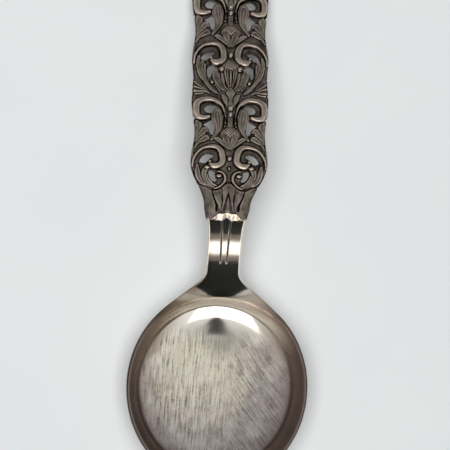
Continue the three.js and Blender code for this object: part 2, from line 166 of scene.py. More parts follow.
def reed_cut(x, y):
    """Depth of the reed's two engraved lines, which start softly and spread towards the cuff."""
    along = (y - reed_from) / (neck_end - reed_from)
    line_x = blend(*reed_half_widths, np.maximum(along, 0))
    line = np.clip(1 - np.abs(np.abs(x) - line_x) / reed_line_width, 0, 1)
    return reed_line_depth * line * climb(along, *reed_run_in)


def bowl_top(x, y):
    """The hollow of the bowl, and past its lip the top of the rim and neck, with the reed cut into it.
    At the neck's root the hollow is filled a little, the top is crowned and the lip is sharper."""
    reach = bowl_length / 2 * (1 - 2 * rim_width / bowl_width)
    shortened = (bowl_length / 2 - rim_width_at_neck) / reach
    at_root = climb(y, root_from, root_full)
    radius = bowl_share(x, np.where(y > 0, y / shortened, y)) * bowl_width / 2
    radius += root_fill * climb(radius, root_fill_from, root_fill_to) * at_root
    hollow = bowl_section(radius, rim_width, bowl_floor)
    crown = root_crown * x**2 * at_root * (1 - climb(y, shoulder_foot, root_crown_end))
    lip = blend(lip_round, root_lip_round, climb(y, root_lip_from, root_lip_full))
    return soft_min(hollow, spine(y) + neck_thickness / 2 - crown, lip) - reed_cut(x, y)


def bowl_under(x, y):
    """The outside of the bowl, and past its rim the underside of the neck."""
    outside = bowl_section(bowl_share(x, y) * bowl_width / 2, 0, 0)
    thickness = blend(rim_edge, neck_thickness, climb(y, shoulder_foot, shoulder_top))
    return soft_min(outside, spine(y) + neck_thickness / 2 - thickness, lip_round)


def quads(grid, closed=False):
    """Faces between the rows of a grid of point numbers. Closed rows go on round to their start."""
    if closed:
        grid = np.column_stack([grid, grid[:, 0]])
    corners = [grid[:-1, :-1], grid[1:, :-1], grid[1:, 1:], grid[:-1, 1:]]
    return np.stack(corners, -1).reshape(-1, 4).tolist()


def bowl_plan():
    """Points of the bowl and neck from above, their faces, and the loop round the edge.
    Rings fill the bowl, closer near the rim. Where the neck leaves, rows go on from the outermost ring."""
    steps_across, neck_rows, rings, round_steps = 96, 76, 64, 240
    ring_crowding, halvings = 1.5, 40
    inset = 1 - 2 * edge_round / bowl_width

    def row_half(y):
        return neck_half(y) - edge_round * np.hypot(1, slope(neck_half, y))

    sideways = np.linspace(1, -1, steps_across + 1)
    start_y = np.full(steps_across + 1, shoulder_foot)
    too_far = np.full(steps_across + 1, inset * bowl_length / 2)
    for _ in range(halvings):
        middle = (start_y + too_far) / 2
        outside = np.abs(sideways) * row_half(middle) > inset * rim_half(middle / inset)
        start_y, too_far = np.where(outside, start_y, middle), np.where(outside, middle, too_far)
    start_x = np.sign(sideways) * inset * rim_half(start_y / inset)
    neck_angles = np.arctan2(2 * start_y / bowl_length, 2 * start_x / bowl_width)
    rest = np.linspace(neck_angles[-1], neck_angles[0] + 2 * math.pi, round_steps + 1)[1:-1]
    angles = np.concatenate([neck_angles, rest])
    shares = inset * (1 - (1 - np.linspace(0, 1, rings + 1)[1:]) ** ring_crowding)
    ring_x = np.outer(shares, np.cos(angles)) * bowl_width / 2
    ring_y = np.outer(shares, np.sin(angles)) * bowl_length / 2
    row_y = blend(start_y, neck_end + neck_in_cuff, np.linspace(0, 1, neck_rows + 1)[1:, None])
    row_x = sideways * row_half(row_y)
    points = np.concatenate([
        [[0.0, 0.0]],
        np.stack([ring_x.ravel(), ring_y.ravel()], -1),
        np.stack([row_x.ravel(), row_y.ravel()], -1),
    ])
    ring = 1 + np.arange(ring_x.size).reshape(ring_x.shape)
    row = 1 + ring_x.size + np.arange(row_x.size).reshape(row_x.shape)
    row = np.concatenate([ring[-1:, :steps_across + 1], row])
    fan = np.column_stack([np.zeros(len(angles), int), ring[0], np.roll(ring[0], -1)])
    faces = fan.tolist() + quads(ring, closed=True) + quads(row)
    loop = np.concatenate([row[:, 0], row[-1, 1:], row[-2::-1, -1], ring[-1, steps_across + 1:]])
    return points, faces, loop


def bowl_mesh():
    """The top, the underside and a rounded edge between them."""
    plan, faces, loop = bowl_plan()
    top = np.column_stack([plan, bowl_top(*plan.T)])
    under = np.column_stack([plan, bowl_under(*plan.T)])
    count = len(plan)
    tangent = np.roll(plan[loop], -1, axis=0) - np.roll(plan[loop], 1, axis=0)
    outward = np.column_stack([tangent[:, 1], -tangent[:, 0]])
    outward /= np.linalg.norm(outward, axis=1)[:, None]
    top_z, under_z = top[loop, 2], under[loop, 2]
    drop = np.minimum(edge_round, (top_z - under_z) / 2)
    corner_out, corner_drop = 0.7, 0.3
    edge = [(corner_out, top_z - corner_drop * drop), (1, top_z - drop),
            (1, under_z + drop), (corner_out, under_z + corner_drop * drop)]
    points, loops = [top, under], [loop]
    for step, (out, z) in enumerate(edge):
        points.append(np.column_stack([plan[loop] + out * edge_round * outward, z]))
        loops.append(2 * count + step * len(loop) + np.arange(len(loop)))
    loops.append(count + loop)
    under_faces = [[count + i for i in reversed(face)] for face in faces]
    return np.concatenate(points), faces + under_faces + quads(np.array(loops), closed=True)


def colour(code):
    """An sRGB hex value as linear red, green, blue and alpha."""
    channels = [int(code[i:i + 2], 16) / 255 for i in (1, 3, 5)]
    return [c / 12.92 if c <= 0.04045 else ((c + 0.055) / 1.055) ** 2.4 for c in channels] + [1]


def node(material, kind, inputs=None, out=0, **settings):
    """Adds a node, with its settings and a value or a link for each input, and gives one of its outputs."""
    tree = material.node_tree
    made = tree.nodes.new(kind)
    for name, value in settings.items():
        setattr(made, name, value)
    for socket, source in (inputs or {}).items():
        if isinstance(source, bpy.types.NodeSocket):
            tree.links.new(source, made.inputs[socket])
        else:
            made.inputs[socket].default_value = source
    return made.outputs[out] if made.outputs else made


def clear_nodes(owner):
    """Gives a material or the world an empty node tree."""
    owner.use_nodes = True
    owner.node_tree.nodes.clear()
    return owner


def new_material(name):
    """An empty node material, and its place in the object in millimetres."""
    material = clear_nodes(bpy.data.materials.new(name))
    here = node(material, "ShaderNodeTexCoord", out="Object")
    scaled = {0: here, 1: (1 / MM, 1 / MM, 1 / MM)}
    return material, node(material, "ShaderNodeVectorMath", scaled, operation="MULTIPLY")


def silver_shader(material, inputs):
    """Ends a material in a metal surface."""
    shader = node(material, "ShaderNodeBsdfPrincipled", {"Metallic": 1.0, **inputs})
    node(material, "ShaderNodeOutputMaterial", {"Surface": shader})


def share(material, *ranges):
    """How far something shows. A range is a value, two ends of it, in millimetres for a place, and how much
    shows at each end. What the ranges give is multiplied."""
    product = 1.0
    for ends in ranges:
        part = node(material, "ShaderNodeMapRange", dict(enumerate(ends)))
        product = node(material, "ShaderNodeMath", {0: part, 1: product}, operation="MULTIPLY")
    return product


def scratches(material, here, spacing, length, turn):
    """Noise drawn out into long ragged lines, turned so many degrees from the spoon's length."""
    turned = node(material, "ShaderNodeMapping", {"Vector": here, "Rotation": (0, 0, math.radians(turn))})
    drawn_out = node(material, "ShaderNodeMapping", {"Vector": turned, "Scale": (1 / spacing, 1 / length, 0)})
    ragged = {"Vector": drawn_out, "Scale": 1.0, "Detail": 6.0, "Roughness": 0.75}
    return node(material, "ShaderNodeTexNoise", ragged)


# Satin silver: polished on the neck, and dulled in the bowl by long scratches and a thin rosy tarnish.
# The eye gets clear dark and bright reflections on the neck, cream streaks over a grey floor, a brown wall,
# and a pale matt film on the wall near the neck. Some light and shade is painted into the colour: a highlight
# round the rubbed spot, a dim reflection below the neck's highlight, reflections on the shoulders, and shade
# along the floor's edge, the wall's foot and the rim's edges. Scratches are drawn as coarse as they need to
# show.
def satin_silver():
    scratch_spacing, scratch_length = 0.5, 9.0
    left_turn, right_turn = 3, -36
    patch_size, cloud_size, fleck_size = 7.0, 3.0, 0.5
    # The rubbed spot gathers a painted highlight: the floor round it is painted lighter and creamier, with
    # brighter clouds and scratches
    rubbed_sheen_spot, dim_reflection_spot = (-5.0, 7.0, 2.0), (2.5, 15.0, 2.5)
    made_round = (1, bowl_width / bowl_length, 0)
    material, here = new_material("satin_silver")
    across, along, height = node(material, "ShaderNodeSeparateXYZ", {0: here}).node.outputs
    facing = node(material, "ShaderNodeNewGeometry", out="Normal")
    upward = node(material, "ShaderNodeSeparateXYZ", {0: facing}, 2)
    patches = node(material, "ShaderNodeTexNoise", {"Vector": here, "Scale": 1 / patch_size, "Detail": 4.0})
    clouds = node(material, "ShaderNodeTexNoise", {"Vector": here, "Scale": 1 / cloud_size, "Detail": 4.0})
    flecks = node(material, "ShaderNodeTexNoise", {"Vector": here, "Scale": 1 / fleck_size, "Detail": 3.0})
    to_rubbed_sheen, to_dim_reflection = {0: here, 1: rubbed_sheen_spot}, {0: here, 1: dim_reflection_spot}
    from_rubbed_sheen = node(material, "ShaderNodeVectorMath", to_rubbed_sheen, "Value", operation="DISTANCE")
    from_dim_reflection = node(material, "ShaderNodeVectorMath", to_dim_reflection, "Value", operation="DISTANCE")
    outward = node(material, "ShaderNodeVectorMath", {0: here, 1: facing}, "Value", operation="DOT_PRODUCT")
    rounded = node(material, "ShaderNodeVectorMath", {0: here, 1: made_round}, operation="MULTIPLY")
    radius = node(material, "ShaderNodeVectorMath", {0: rounded}, "Value", operation="LENGTH")
    off_middle = node(material, "ShaderNodeMath", {0: across}, operation="ABSOLUTE")

    on_left = scratches(material, here, scratch_spacing, scratch_length, left_turn)
    on_right = scratches(material, here, scratch_spacing, scratch_length, right_turn)
    rightward = share(material, (across, 1.0, 9.0, 0.0, 0.85))
    lines = node(material, "ShaderNodeMix", {0: rightward, 2: on_left, 3: on_right})
    reed_line = share(material, (along, reed_from, neck_end, *reed_half_widths))
    off_line = node(material, "ShaderNodeMath", {0: off_middle, 1: reed_line}, operation="SUBTRACT")
    beside_line = node(material, "ShaderNodeMath", {0: off_line}, operation="ABSOLUTE")

    inside = (upward, 0.0, 0.1, 0.0, 1.0)
    on_floor = (height, 3.5, 5.0, 1.0, 0.2)
    off_neck = (along, 8.0, 21.0, 1.0, 0.0)
    shoulders = ((along, 10.0, 21.0, 0.0, 1.0), (height, 7.0, 10.0, 0.0, 1.0), inside)
    polish = (along, 14.0, 19.0, 0.0, 1.0)
    film = ((along, 10.0, 21.0, 0.0, 0.85), (across, -18.0, -10.0, 0.0, 1.0), (height, 3.8, 4.8, 0.0, 1.0),
            (height, 9.0, 12.0, 1.0, 0.0), inside)
    base = colour("#c4b9b3")
    for tone, *ranges in [
        # On the floor: tarnish in patches, the rubbed spot with its painted highlight, clouds, bright
        # scratches, pits and a painted dim reflection below the neck's highlight
        ("#988c89", (patches, 0.42, 0.62, 0.0, 0.9)),
        ("#f6ead0", (from_rubbed_sheen, 5.0, 22.0, 1.0, 0.0)),
        ("#fff6dd", (clouds, 0.5, 0.66, 0.0, 0.7), (from_rubbed_sheen, 5.0, 24.0, 1.0, 0.2), on_floor),
        ("#8b7f78", (clouds, 0.34, 0.5, 0.4, 0.0), on_floor),
        ("#fffdf0", (lines, 0.49, 0.58, 0.0, 1.0), (from_rubbed_sheen, 5.0, 24.0, 1.0, 0.25), on_floor),
        ("#6a5e55", (lines, 0.39, 0.485, 1.0, 0.0), (flecks, 0.42, 0.58, 0.2, 1.0), on_floor),
        # Painted reflection: a dim grey patch below the neck's highlight, where a dark thing is reflected
        ("#a9a595", (from_dim_reflection, 3.0, 8.0, 0.7, 0.0)),
        # Towards the wall: painted shade on the floor's edge, the clean neck, painted shade on the floor's
        # edge beside it, and the film
        ("#8d8079", (height, 1.6, 4.4, 0.0, 0.75), (along, 12.0, 22.0, 1.0, 0.0), inside),
        ("#ece5d9", polish),
        # Painted shade: the floor darkens beside the neck where it turns up into the wall
        ("#9c8f7c", (radius, 19.0, 23.0, 0.0, 0.7), (off_middle, 9.5, 13.5, 0.0, 1.0),
         (along, 5.0, 12.0, 0.0, 1.0), inside),
        ("#f2e8d6", *film),
        # On the wall: painted reflections on the left and the right shoulder, gold on the left and pinkish on
        # the right, the wall's darker brown and a dark line of painted shade at its foot
        # Painted reflections: the left shoulder is tinted gold and the right one pinkish, unlike each other
        ("#93806a", (across, -3.0, -8.0, 0.0, 0.95), *shoulders),
        ("#c6b0a0", (across, 6.0, 11.0, 0.0, 0.95), *shoulders),
        ("#9c8c86", (height, 4.4, 6.0, 0.0, 0.9), off_neck, (patches, 0.35, 0.65, 1.0, 0.65)),
        # Painted shade: a dark line in the crease where the floor meets the wall
        ("#4a3a38", (height, 3.7, 4.4, 0.0, 0.6), (height, 4.6, 5.4, 1.0, 0.0), (along, -4.0, 9.0, 1.0, 0.0),
         inside),
        # At the rim: painted shade on its inner edge, painted shade dimming the lip at the neck's root, its
        # top, painted shade on the outer edge, and the reed's lines
        ("#5a4c42", (radius, 25.0, 27.2, 0.0, 0.85), (along, 21.0, 31.0, 1.0, 0.0),
         (along, 0.0, 8.0, 0.0, 1.0), inside),
        # Painted shade: the lip at the neck's root is darkened where it catches a bright reflection
        ("#b0a795", (along, 25.6, 26.6, 0.0, 0.9), (along, 27.8, 29.4, 1.0, 0.0),
         (height, 11.2, 12.0, 0.0, 1.0)),
        ("#8a7c75", (height, 12.2, 12.4, 0.0, 0.9), off_neck),
        # Painted shade: the rim's outer edge, where it turns down, is darkened
        ("#362d2a", (outward, 12.0, 18.0, 0.0, 0.85), (height, 10.0, 11.6, 0.0, 1.0), off_neck),
        ("#2b2420", (beside_line, 0.24, 0.4, 0.95, 0.0), (along, reed_from, reed_from + 1, 0.0, 1.0)),
    ]:
        layer = {0: share(material, *ranges), 6: base, 7: colour(tone)}
        base = node(material, "ShaderNodeMix", layer, 2, data_type="RGBA")

    scuffed = node(material, "ShaderNodeMath", {0: lines, 1: flecks}, operation="MULTIPLY")
    satin = share(material, (scuffed, 0.14, 0.36, 0.22, 0.38))
    mirror = share(material, (along, 20.0, 27.0, 0.1, 0.045))
    wall_satin = share(material, (along, 0.0, 12.0, 0.28, 0.45))
    clean, smooth_spot = share(material, polish), share(material, (from_dim_reflection, 5.0, 8.0, 1.0, 0.0))
    smooth = node(material, "ShaderNodeMath", {0: clean, 1: smooth_spot}, operation="MAXIMUM")
    polished = node(material, "ShaderNodeMix", {0: smooth, 2: satin, 3: mirror})
    on_wall = share(material, (height, 5.5, 7.0, 0.0, 1.0), (height, 12.6, 12.8, 1.0, 0.0), inside)
    rough = node(material, "ShaderNodeMix", {0: on_wall, 2: polished, 3: wall_satin})
    scored = share(material, (along, 10.0, 17.0, 0.07, 0.0))
    bump = node(material, "ShaderNodeBump", {"Strength": scored, "Distance": 0.1 * MM, "Height": lines})
    bare = node(material, "ShaderNodeMath", {0: 1.0, 1: share(material, *film)}, operation="SUBTRACT")
    silver_shader(material, {"Base Color": base, "Metallic": bare, "Roughness": rough, "Normal": bump})
    return material


def add_object(name, data):
    thing = bpy.data.objects.new(name, data)
    bpy.context.scene.collection.objects.link(thing)
    return thing


def fit_piece(name, points, faces, material, cad_node, slot, sharp_angle=50):
    """A smooth mesh piece, with points in millimetres, that stands for a node of the part."""
    mesh = bpy.data.meshes.new(name)
    mesh.from_pydata((np.asarray(points) * MM).tolist(), [], faces)
    mesh.polygons.foreach_set("use_smooth", [True] * len(mesh.polygons))
    mesh.set_sharp_from_angle(angle=math.radians(sharp_angle))
    mesh.materials.append(material)
    piece = add_object(name, mesh)
    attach(piece, "root")
    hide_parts(cad_node)
    return piece


fit_piece("bowl_and_neck_forging", *bowl_mesh(), satin_silver(), "bowl_and_neck", "brushed_silver")

# Leaf cuff
# A cast silver sleeve that joins the neck to the foot of the handle, carved with leaves and tongues in front.
# Its lower edge is a bright scalloped bevel and its back is plain and rounded. It is soldered to both panels.

handle_width = 23.2
handle_crown = 0.6
cuff_sides = [(50.4, 6.0), (52, 6.35), (53.8, 6.8), (55.6, 6.95), (57.4, 7.4), (59.2, 8.2), (61.4, 9.2)]
cuff_foot = [(0, 51.6), (1.5, 50.6), (5.7, 50.7), (7, 51)]
cuff_bevel = [(0, 53.5), (1, 53.25), (2.9, 53.15), (3.6, 52.35), (4.4, 51.65), (5.5, 51.35), (7, 51.2)]
panel_foot = [(0, 61.85), (0.8, 61.6), (1.7, 60.9), (2.3, 60.3), (3.4, 59.7), (5.05, 59.6), (6.85, 60.5),
              (9.5, 61.1)]
solder_line = 0.1
cuff_front = 2.0
cuff_back = 1.5
cuff_edge = 0.25
cuff_least = 0.1
front_squareness = 5
back_squareness = 4
bevel_rise = 0.45
bevel_least = 0.05
lobe_width = 2.3
lobe_depth = 0.2
lobe_lean = 0.4
groove_width = 0.2
groove_depth = 0.3
groove_floor = 0.4
bevel_groove_width = 0.3
bevel_groove_depth = 0.25
seam_width = 0.3
seam_depth = 0.2
cuff_ground_sink = 0.1
cuff_leaf_sink = 0.45
# Leaves and tears of the cuff's right half: lines of x, y and the width there, and the rise of each leaf
cuff_leaves = [
    ([[3.4, 59.4, 1.4], [3.3, 58.5, 2.4], [2.8, 57, 2.1], [2.3, 55.6, 1.6], [2.05, 54.3, 1.2],
      [2.1, 53.4, 0.6]], 0.6),
    ([[0.5, 61.2, 1.6], [0.85, 60.3, 2.5], [0.95, 59.3, 2.1], [1, 58.4, 1.6], [1.15, 57, 1.1],
      [1.45, 55.4, 0.8], [1.75, 53.9, 0.6]], 0.65),
    ([[0, 58.6, 0.15], [0, 56.5, 0.8], [0, 55, 1.4], [0, 53.7, 2.1]], 0.6),
]
cuff_tears = [[4.8, 59.4, 0.2], [4.65, 58.6, 0.25], [4.3, 57.6, 0.3], [3.75, 56.4, 0.4], [3.35, 55.4, 0.75],
              [3.3, 54.5, 0.9], [3.27, 53.95, 0.6]]
tear_depth = 0.7
tear_round = 0.15
cuff_grid = ((-9.36, 50.4), (9.36, 62.16))
cuff_cell = 0.12

wear_reach = 0.45
even_wear = 0.4
ridge_wear = 1.1
height_wear = 0.3
worn_heights = (1.0, 1.6)
cuff_carving_wear = -0.26
cuff_bevel_wear = 0.7
bevel_wear_edge = 0.3


def place(x, y, height):
    """Points of the flat plan, so high over the handle's middle, set on the bent and crowned handle."""
    lean = slope(spine, y)
    length = np.hypot(1, lean)
    crown = handle_crown * (2 * x / handle_width) ** 2
    return np.column_stack([x, y - height * lean / length, spine(y) - crown + height / length])


def smooth_line(points, steps=7, closed=False):
    """A smooth line through points. Their other values, such as a width, are carried along."""
    points = np.asarray(points, float)
    before, after, end = 2 * points[:1] - points[1:2], 2 * points[-1:] - points[-2:-1], points[-1:]
    if closed:
        before, after, end = points[-1:], points[:2], points[:1]
    ring = np.concatenate([before, points, after])
    t = np.linspace(0, 1, steps, endpoint=False)[:, None]
    bits = [b + t * (c - a) / 2 + t**2 * (2 * a - 5 * b + 4 * c - d) / 2 + t**3 * (3 * b - a - 3 * c + d) / 2
            for a, b, c, d in zip(ring, ring[1:], ring[2:], ring[3:])]
    return np.concatenate(bits + [end])


def nearest(x, y, line):
    """For each point: its distance from a line, the side it lies on, and the line's values nearest to it."""
    step = np.diff(line, axis=0)
    from_x, from_y = x[:, None] - line[:-1, 0], y[:, None] - line[:-1, 1]
    length = step[:, 0] ** 2 + step[:, 1] ** 2 + 1e-12
    t = np.clip((from_x * step[:, 0] + from_y * step[:, 1]) / length, 0, 1)
    gap = np.hypot(from_x - t * step[:, 0], from_y - t * step[:, 1])
    at = (np.arange(len(x)), gap.argmin(1))
    side = np.sign(step[at[1], 0] * from_y[at] - step[at[1], 1] * from_x[at])
    return gap[at], side, line[at[1]] + t[at][:, None] * step[at[1]]


def within(field, line, reach):
    """The points of a field that lie in the box round a line."""
    x, y = field["x"], field["y"]
    (left, low), (right, high) = line[:, :2].min(0) - reach, line[:, :2].max(0) + reach
    return np.flatnonzero((x > left) & (x < right) & (y > low) & (y < high))


def lay(field, near, edge, top):
    """Lays a carved form over those before it, with a groove round it. Its edge is at 0, its inside above."""
    cut = groove_depth * (1 - ease(-edge / groove_width))
    ground = np.maximum(field["height"][near] - cut, groove_floor)
    field["height"][near] = np.where(edge > 0, field["base"][near] + top, ground)
    field["metal"][near] = np.maximum(field["metal"][near], edge)


def lay_leaf(field, points, rise, flutes=0, crest=0.0):
    """A leaf or scroll along a line of x, y and width. Flutes are hollows scooped along it, with ridges
    between. The crest moves its ridge to one side."""
    least_half, thin_end, flute_depth = 0.05, 0.55, 0.4
    line = smooth_line(points)
    near = within(field, line, line[:, 2].max() / 2 + groove_width)
    if not len(near):
        return
    gap, side, at = nearest(field["x"][near], field["y"][near], line)
    half = np.maximum(at[:, 2] / 2, least_half)
    across = np.clip(side * gap / half, -1, 1)
    off = np.where(across > crest, (across - crest) / (1 - crest), (across - crest) / (1 + crest))
    swell = np.sqrt(1 - off**6 if flutes else 1 - off**2)
    ridges = 1 - flute_depth * np.sin(math.pi * flutes * (across + 1) / 2) ** 2
    full = blend(thin_end, 1, half / half.max())
    lay(field, near, half - gap, rise * full * swell * ridges)


def kept_cells(depth):
    """The cells of a grid that lie mostly inside an outline, with none that meet at a corner alone."""
    kept = depth[:-1, :-1] + depth[1:, :-1] + depth[:-1, 1:] + depth[1:, 1:] > 0
    for _ in range(4):
        a, b, c, d = kept[:-1, :-1], kept[:-1, 1:], kept[1:, :-1], kept[1:, 1:]
        rising, falling = a & d & ~b & ~c, b & c & ~a & ~d
        b |= rising
        a |= falling
    return kept


def onto_outline(start, carve, cell):
    """Draws the points of a grid's edge onto the outline, each by less than half a cell."""
    tiny, steadying, furthest = 0.02, 0.05, 0.48 * cell
    points = start
    for _ in range(4):
        x, y = points.T
        depth = carve(x, y)[0]
        grow = np.column_stack([carve(x + tiny, y)[0] - depth, carve(x, y + tiny)[0] - depth]) / tiny
        step = -depth[:, None] * grow / (np.sum(grow**2, axis=1)[:, None] + steadying)
        moved = points + step - start
        points = start + moved / np.maximum(np.linalg.norm(moved, axis=1)[:, None] / furthest, 1)
    return points


def fill_outline(plan, edges):
    """Triangles between points of a plan, inside an outline whose edges run round it in one direction."""
    _, _, triangles, sources, _, _ = delaunay_2d_cdt([Vector(p) for p in plan], edges, [], 0, 1e-6)
    triangles = [[sources[i][0] for i in face] for face in triangles]
    owner = {(face[i], face[i - 2]): number for number, face in enumerate(triangles) for i in range(3)}
    fences = {tuple(edge) for edge in edges} | {(b, a) for a, b in edges}
    waiting = [owner[tuple(edge)] for edge in edges if tuple(edge) in owner]
    inside = set(waiting)
    while waiting:
        face = triangles[waiting.pop()]
        for i in range(3):
            border = (face[i], face[i - 2])
            other = owner.get((border[1], border[0]))
            if border not in fences and other is not None and other not in inside:
                inside.add(other)
                waiting.append(other)
    return [triangles[number] for number in inside]


def wear_of(height, cell):
    """How far hands have rubbed a carving: most on ridges and high forms, least in grooves."""
    span = 2 * round(wear_reach / cell) + 1
    around = height
    for axis in (0, 1):
        around = np.apply_along_axis(np.convolve, axis, around, np.ones(span) / span, "same")
    plain, highest = worn_heights
    return even_wear + ridge_wear * (height - around) + height_wear * (np.minimum(height, highest) - plain)


def relief_mesh(low, high, cell, carve, back, facing=1, rubbed=lambda x, y: 0):
    """Points, faces and wear of a carved sheet, set on the handle. carve gives how deep inside the outline
    points of the plan lie, and how high the carving stands there. A fine grid is kept inside, its edge is
    drawn onto the outline, and coarser triangles close it at the height that back gives.
    rubbed gives wear beyond that of the high parts."""
    back_cell, back_margin = 1.2, 0.5
    x, y = np.meshgrid(*(np.linspace(a, b, round((b - a) / cell) + 1) for a, b in zip(low, high)))
    depth, height = carve(x, y)
    kept = kept_cells(depth)
    number = np.arange(x.size).reshape(x.shape)
    corners = [number[:-1, :-1], number[:-1, 1:], number[1:, 1:], number[1:, :-1]]
    ringed = np.pad(kept, 1)
    beside = [ringed[:-2, 1:-1], ringed[1:-1, 2:], ringed[2:, 1:-1], ringed[1:-1, :-2]]
    edges = []
    for start, end, neighbour in zip(corners, corners[1:] + corners[:1], beside):
        open_side = kept & ~neighbour
        edges.append(np.stack([start[open_side], end[open_side]], -1))
    cells = np.stack([corner[kept] for corner in corners], -1)
    used = np.unique(cells)
    fresh = np.full(x.size, -1)
    fresh[used] = np.arange(len(used))
    cells, edges = fresh[cells], fresh[np.concatenate(edges)]

    grid = np.column_stack([x.ravel(), y.ravel()])
    plan, tops = grid[used], height.ravel()[used]
    rim = np.unique(edges)
    plan[rim] = onto_outline(plan[rim], carve, cell)
    tops[rim] = carve(*plan[rim].T)[1]
    on_rim = np.full(len(plan), -1)
    on_rim[rim] = np.arange(len(rim))
    every = round(back_cell / cell)
    lattice = number[::every, ::every][depth[::every, ::every] > back_margin]
    back_plan = np.concatenate([plan[rim], grid[lattice]])
    triangles = fill_outline(back_plan, on_rim[edges].tolist())

    count = len(plan)
    points = np.concatenate([place(*plan.T, facing * tops), place(*back_plan.T, back(*back_plan.T))])
    a, b = edges.T
    walls = np.stack([count + on_rim[a], count + on_rim[b], b, a], -1)
    closing = [[count + i for i in reversed(face)] for face in triangles]
    faces = cells.tolist() + walls.tolist() + closing
    if facing < 0:
        faces = [face[::-1] for face in faces]
    wear = wear_of(np.where(depth > -cell, height, groove_floor), cell) + rubbed(x, y)
    wear = np.clip(wear, 0, 1).ravel()[used]
    return points, faces, np.concatenate([wear, np.full(len(back_plan), even_wear)])


def cuff_half(y):
    return np.interp(y, *zip(*cuff_sides))


def cuff_body(x, y):
    """Height of the cuff's rounded front before it was carved, with the lobes of its bevel."""
    rounded = np.clip(1 - np.abs(x / cuff_half(y)) ** front_squareness, 0, 1) ** 0.5
    foot, bevel = np.interp(x, *zip(*cuff_foot)), np.interp(x, *zip(*cuff_bevel))
    up = np.clip((y - foot) / (bevel - foot + bevel_least), 0, 1)
    lobes = lobe_depth * np.cos(math.pi * (x - lobe_lean * up) / lobe_width) ** 2 * np.sin(up * math.pi)
    risen = blend(bevel_rise, 1, np.sin(up * math.pi / 2))
    return cuff_edge + (cuff_front - cuff_edge) * rounded * risen - lobes


def carve_cuff(x, y):
    field = {"x": np.abs(x).ravel(), "y": y.ravel()}
    across, along = field["x"], field["y"]
    body = cuff_body(across, along)
    top_edge = np.interp(across, *zip(*panel_foot)) - solder_line / 2 - along
    foot_edge = along - np.interp(across, *zip(*cuff_foot))
    outline = np.minimum(np.minimum(cuff_half(along) - across, top_edge), foot_edge)
    field["metal"] = outline.copy()
    field["base"] = body - cuff_leaf_sink
    field["height"] = body - cuff_ground_sink
    for points, rise in cuff_leaves:
        lay_leaf(field, points, rise)
    tears = smooth_line(cuff_tears)
    near = within(field, tears, tears[:, 2].max() / 2 + tear_round)
    gap, _, at = nearest(across[near], along[near], tears)
    field["height"][near] -= tear_depth * (1 - ease(gap / (at[:, 2] / 2 + tear_round)))
    above = along - np.interp(across, *zip(*cuff_bevel))
    grooved = field["height"] - bevel_groove_depth * (1 - ease(above / bevel_groove_width))
    carved = np.maximum(np.where(above > 0, grooved, body), cuff_edge)
    height = np.maximum(carved - seam_depth * (1 - ease(top_edge / seam_width)), cuff_least)
    return outline.reshape(x.shape), height.reshape(x.shape)


def cuff_wear(x, y):
    """The bevel is rubbed bright, and the carving above it less than the handle's."""
    below_bevel = np.interp(np.abs(x), *zip(*cuff_bevel)) - y
    return blend(cuff_carving_wear, cuff_bevel_wear, ease(below_bevel / bevel_wear_edge))


def cuff_under(x, y):
    rounded = np.clip(1 - np.abs(x / cuff_half(y)) ** back_squareness, 0, 1) ** 0.5
    return -cuff_edge - (cuff_back - cuff_edge) * rounded


# Oxidised silver: carved work blackened by tarnish and rubbed bright on its high parts by hands.
# The eye gets near-black grooves round grey forms, stained faintly rosy and olive, that shine softly where
# they stand out. The grain of the casting is drawn as coarse as it needs to show.
def oxidised_silver():
    stain_size, patch_size, grain_size = 4.5, 2.2, 0.5
    material, here = new_material("oxidised_silver")
    stains = node(material, "ShaderNodeTexNoise", {"Vector": here, "Scale": 1 / stain_size, "Detail": 2.0})
    patches = node(material, "ShaderNodeTexNoise", {"Vector": here, "Scale": 1 / patch_size, "Detail": 3.0})
    grain = node(material, "ShaderNodeTexNoise", {"Vector": here, "Scale": 1 / grain_size, "Detail": 2.0})
    wear = node(material, "ShaderNodeAttribute", out="Fac", attribute_name="wear")
    uneven = node(material, "ShaderNodeMapRange", {0: patches, 1: 0.3, 2: 0.7, 3: -0.12, 4: 0.12})
    rubbed = node(material, "ShaderNodeMath", {0: wear, 1: uneven}, operation="ADD", use_clamp=True)
    tones = node(material, "ShaderNodeValToRGB", {0: rubbed})
    groove, ridge = tones.node.color_ramp.elements
    groove.position, groove.color = 0.06, colour("#171512")
    ridge.position, ridge.color = 0.85, colour("#cbbeb2")
    tones.node.color_ramp.elements.new(0.36).color = colour("#776e67")
    olive = node(material, "ShaderNodeMapRange", {0: stains, 1: 0.4, 2: 0.6})
    rosy_to_olive = {0: olive, 6: colour("#fdf5f8"), 7: colour("#f8fcee")}
    tint = node(material, "ShaderNodeMix", rosy_to_olive, 2, data_type="RGBA")
    stained = {0: 1.0, 6: tones, 7: tint}
    base = node(material, "ShaderNodeMix", stained, 2, data_type="RGBA", blend_type="MULTIPLY")
    rough = node(material, "ShaderNodeMapRange", {0: rubbed, 1: 0.1, 2: 0.8, 3: 0.55, 4: 0.22})
    bump = node(material, "ShaderNodeBump", {"Strength": 0.15, "Distance": 0.1 * MM, "Height": grain})
    silver_shader(material, {"Base Color": base, "Roughness": rough, "Normal": bump})
    return material


def fit_carving(name, mesh_parts, *rest):
    """A carved piece, which also carries how far use has worn it."""
    points, faces, wear = mesh_parts
    piece = fit_piece(name, points, faces, *rest, sharp_angle=75)
    piece.data.attributes.new("wear", "FLOAT", "POINT").data.foreach_set("value", wear)


tarnished = oxidised_silver()
cuff_mesh = relief_mesh(*cuff_grid, cuff_cell, carve_cuff, cuff_under, rubbed=cuff_wear)
fit_carving("leaf_cuff_casting", cuff_mesh, tarnished, "leaf_cuff", "oxidised_silver")

# Handle front
# A cast and chased silver panel of hearts, lyres, shells and leaves, pierced between the scrolls.
# It is soldered over the tang onto the back panel, and the pattern repeats along it every 31 mm.

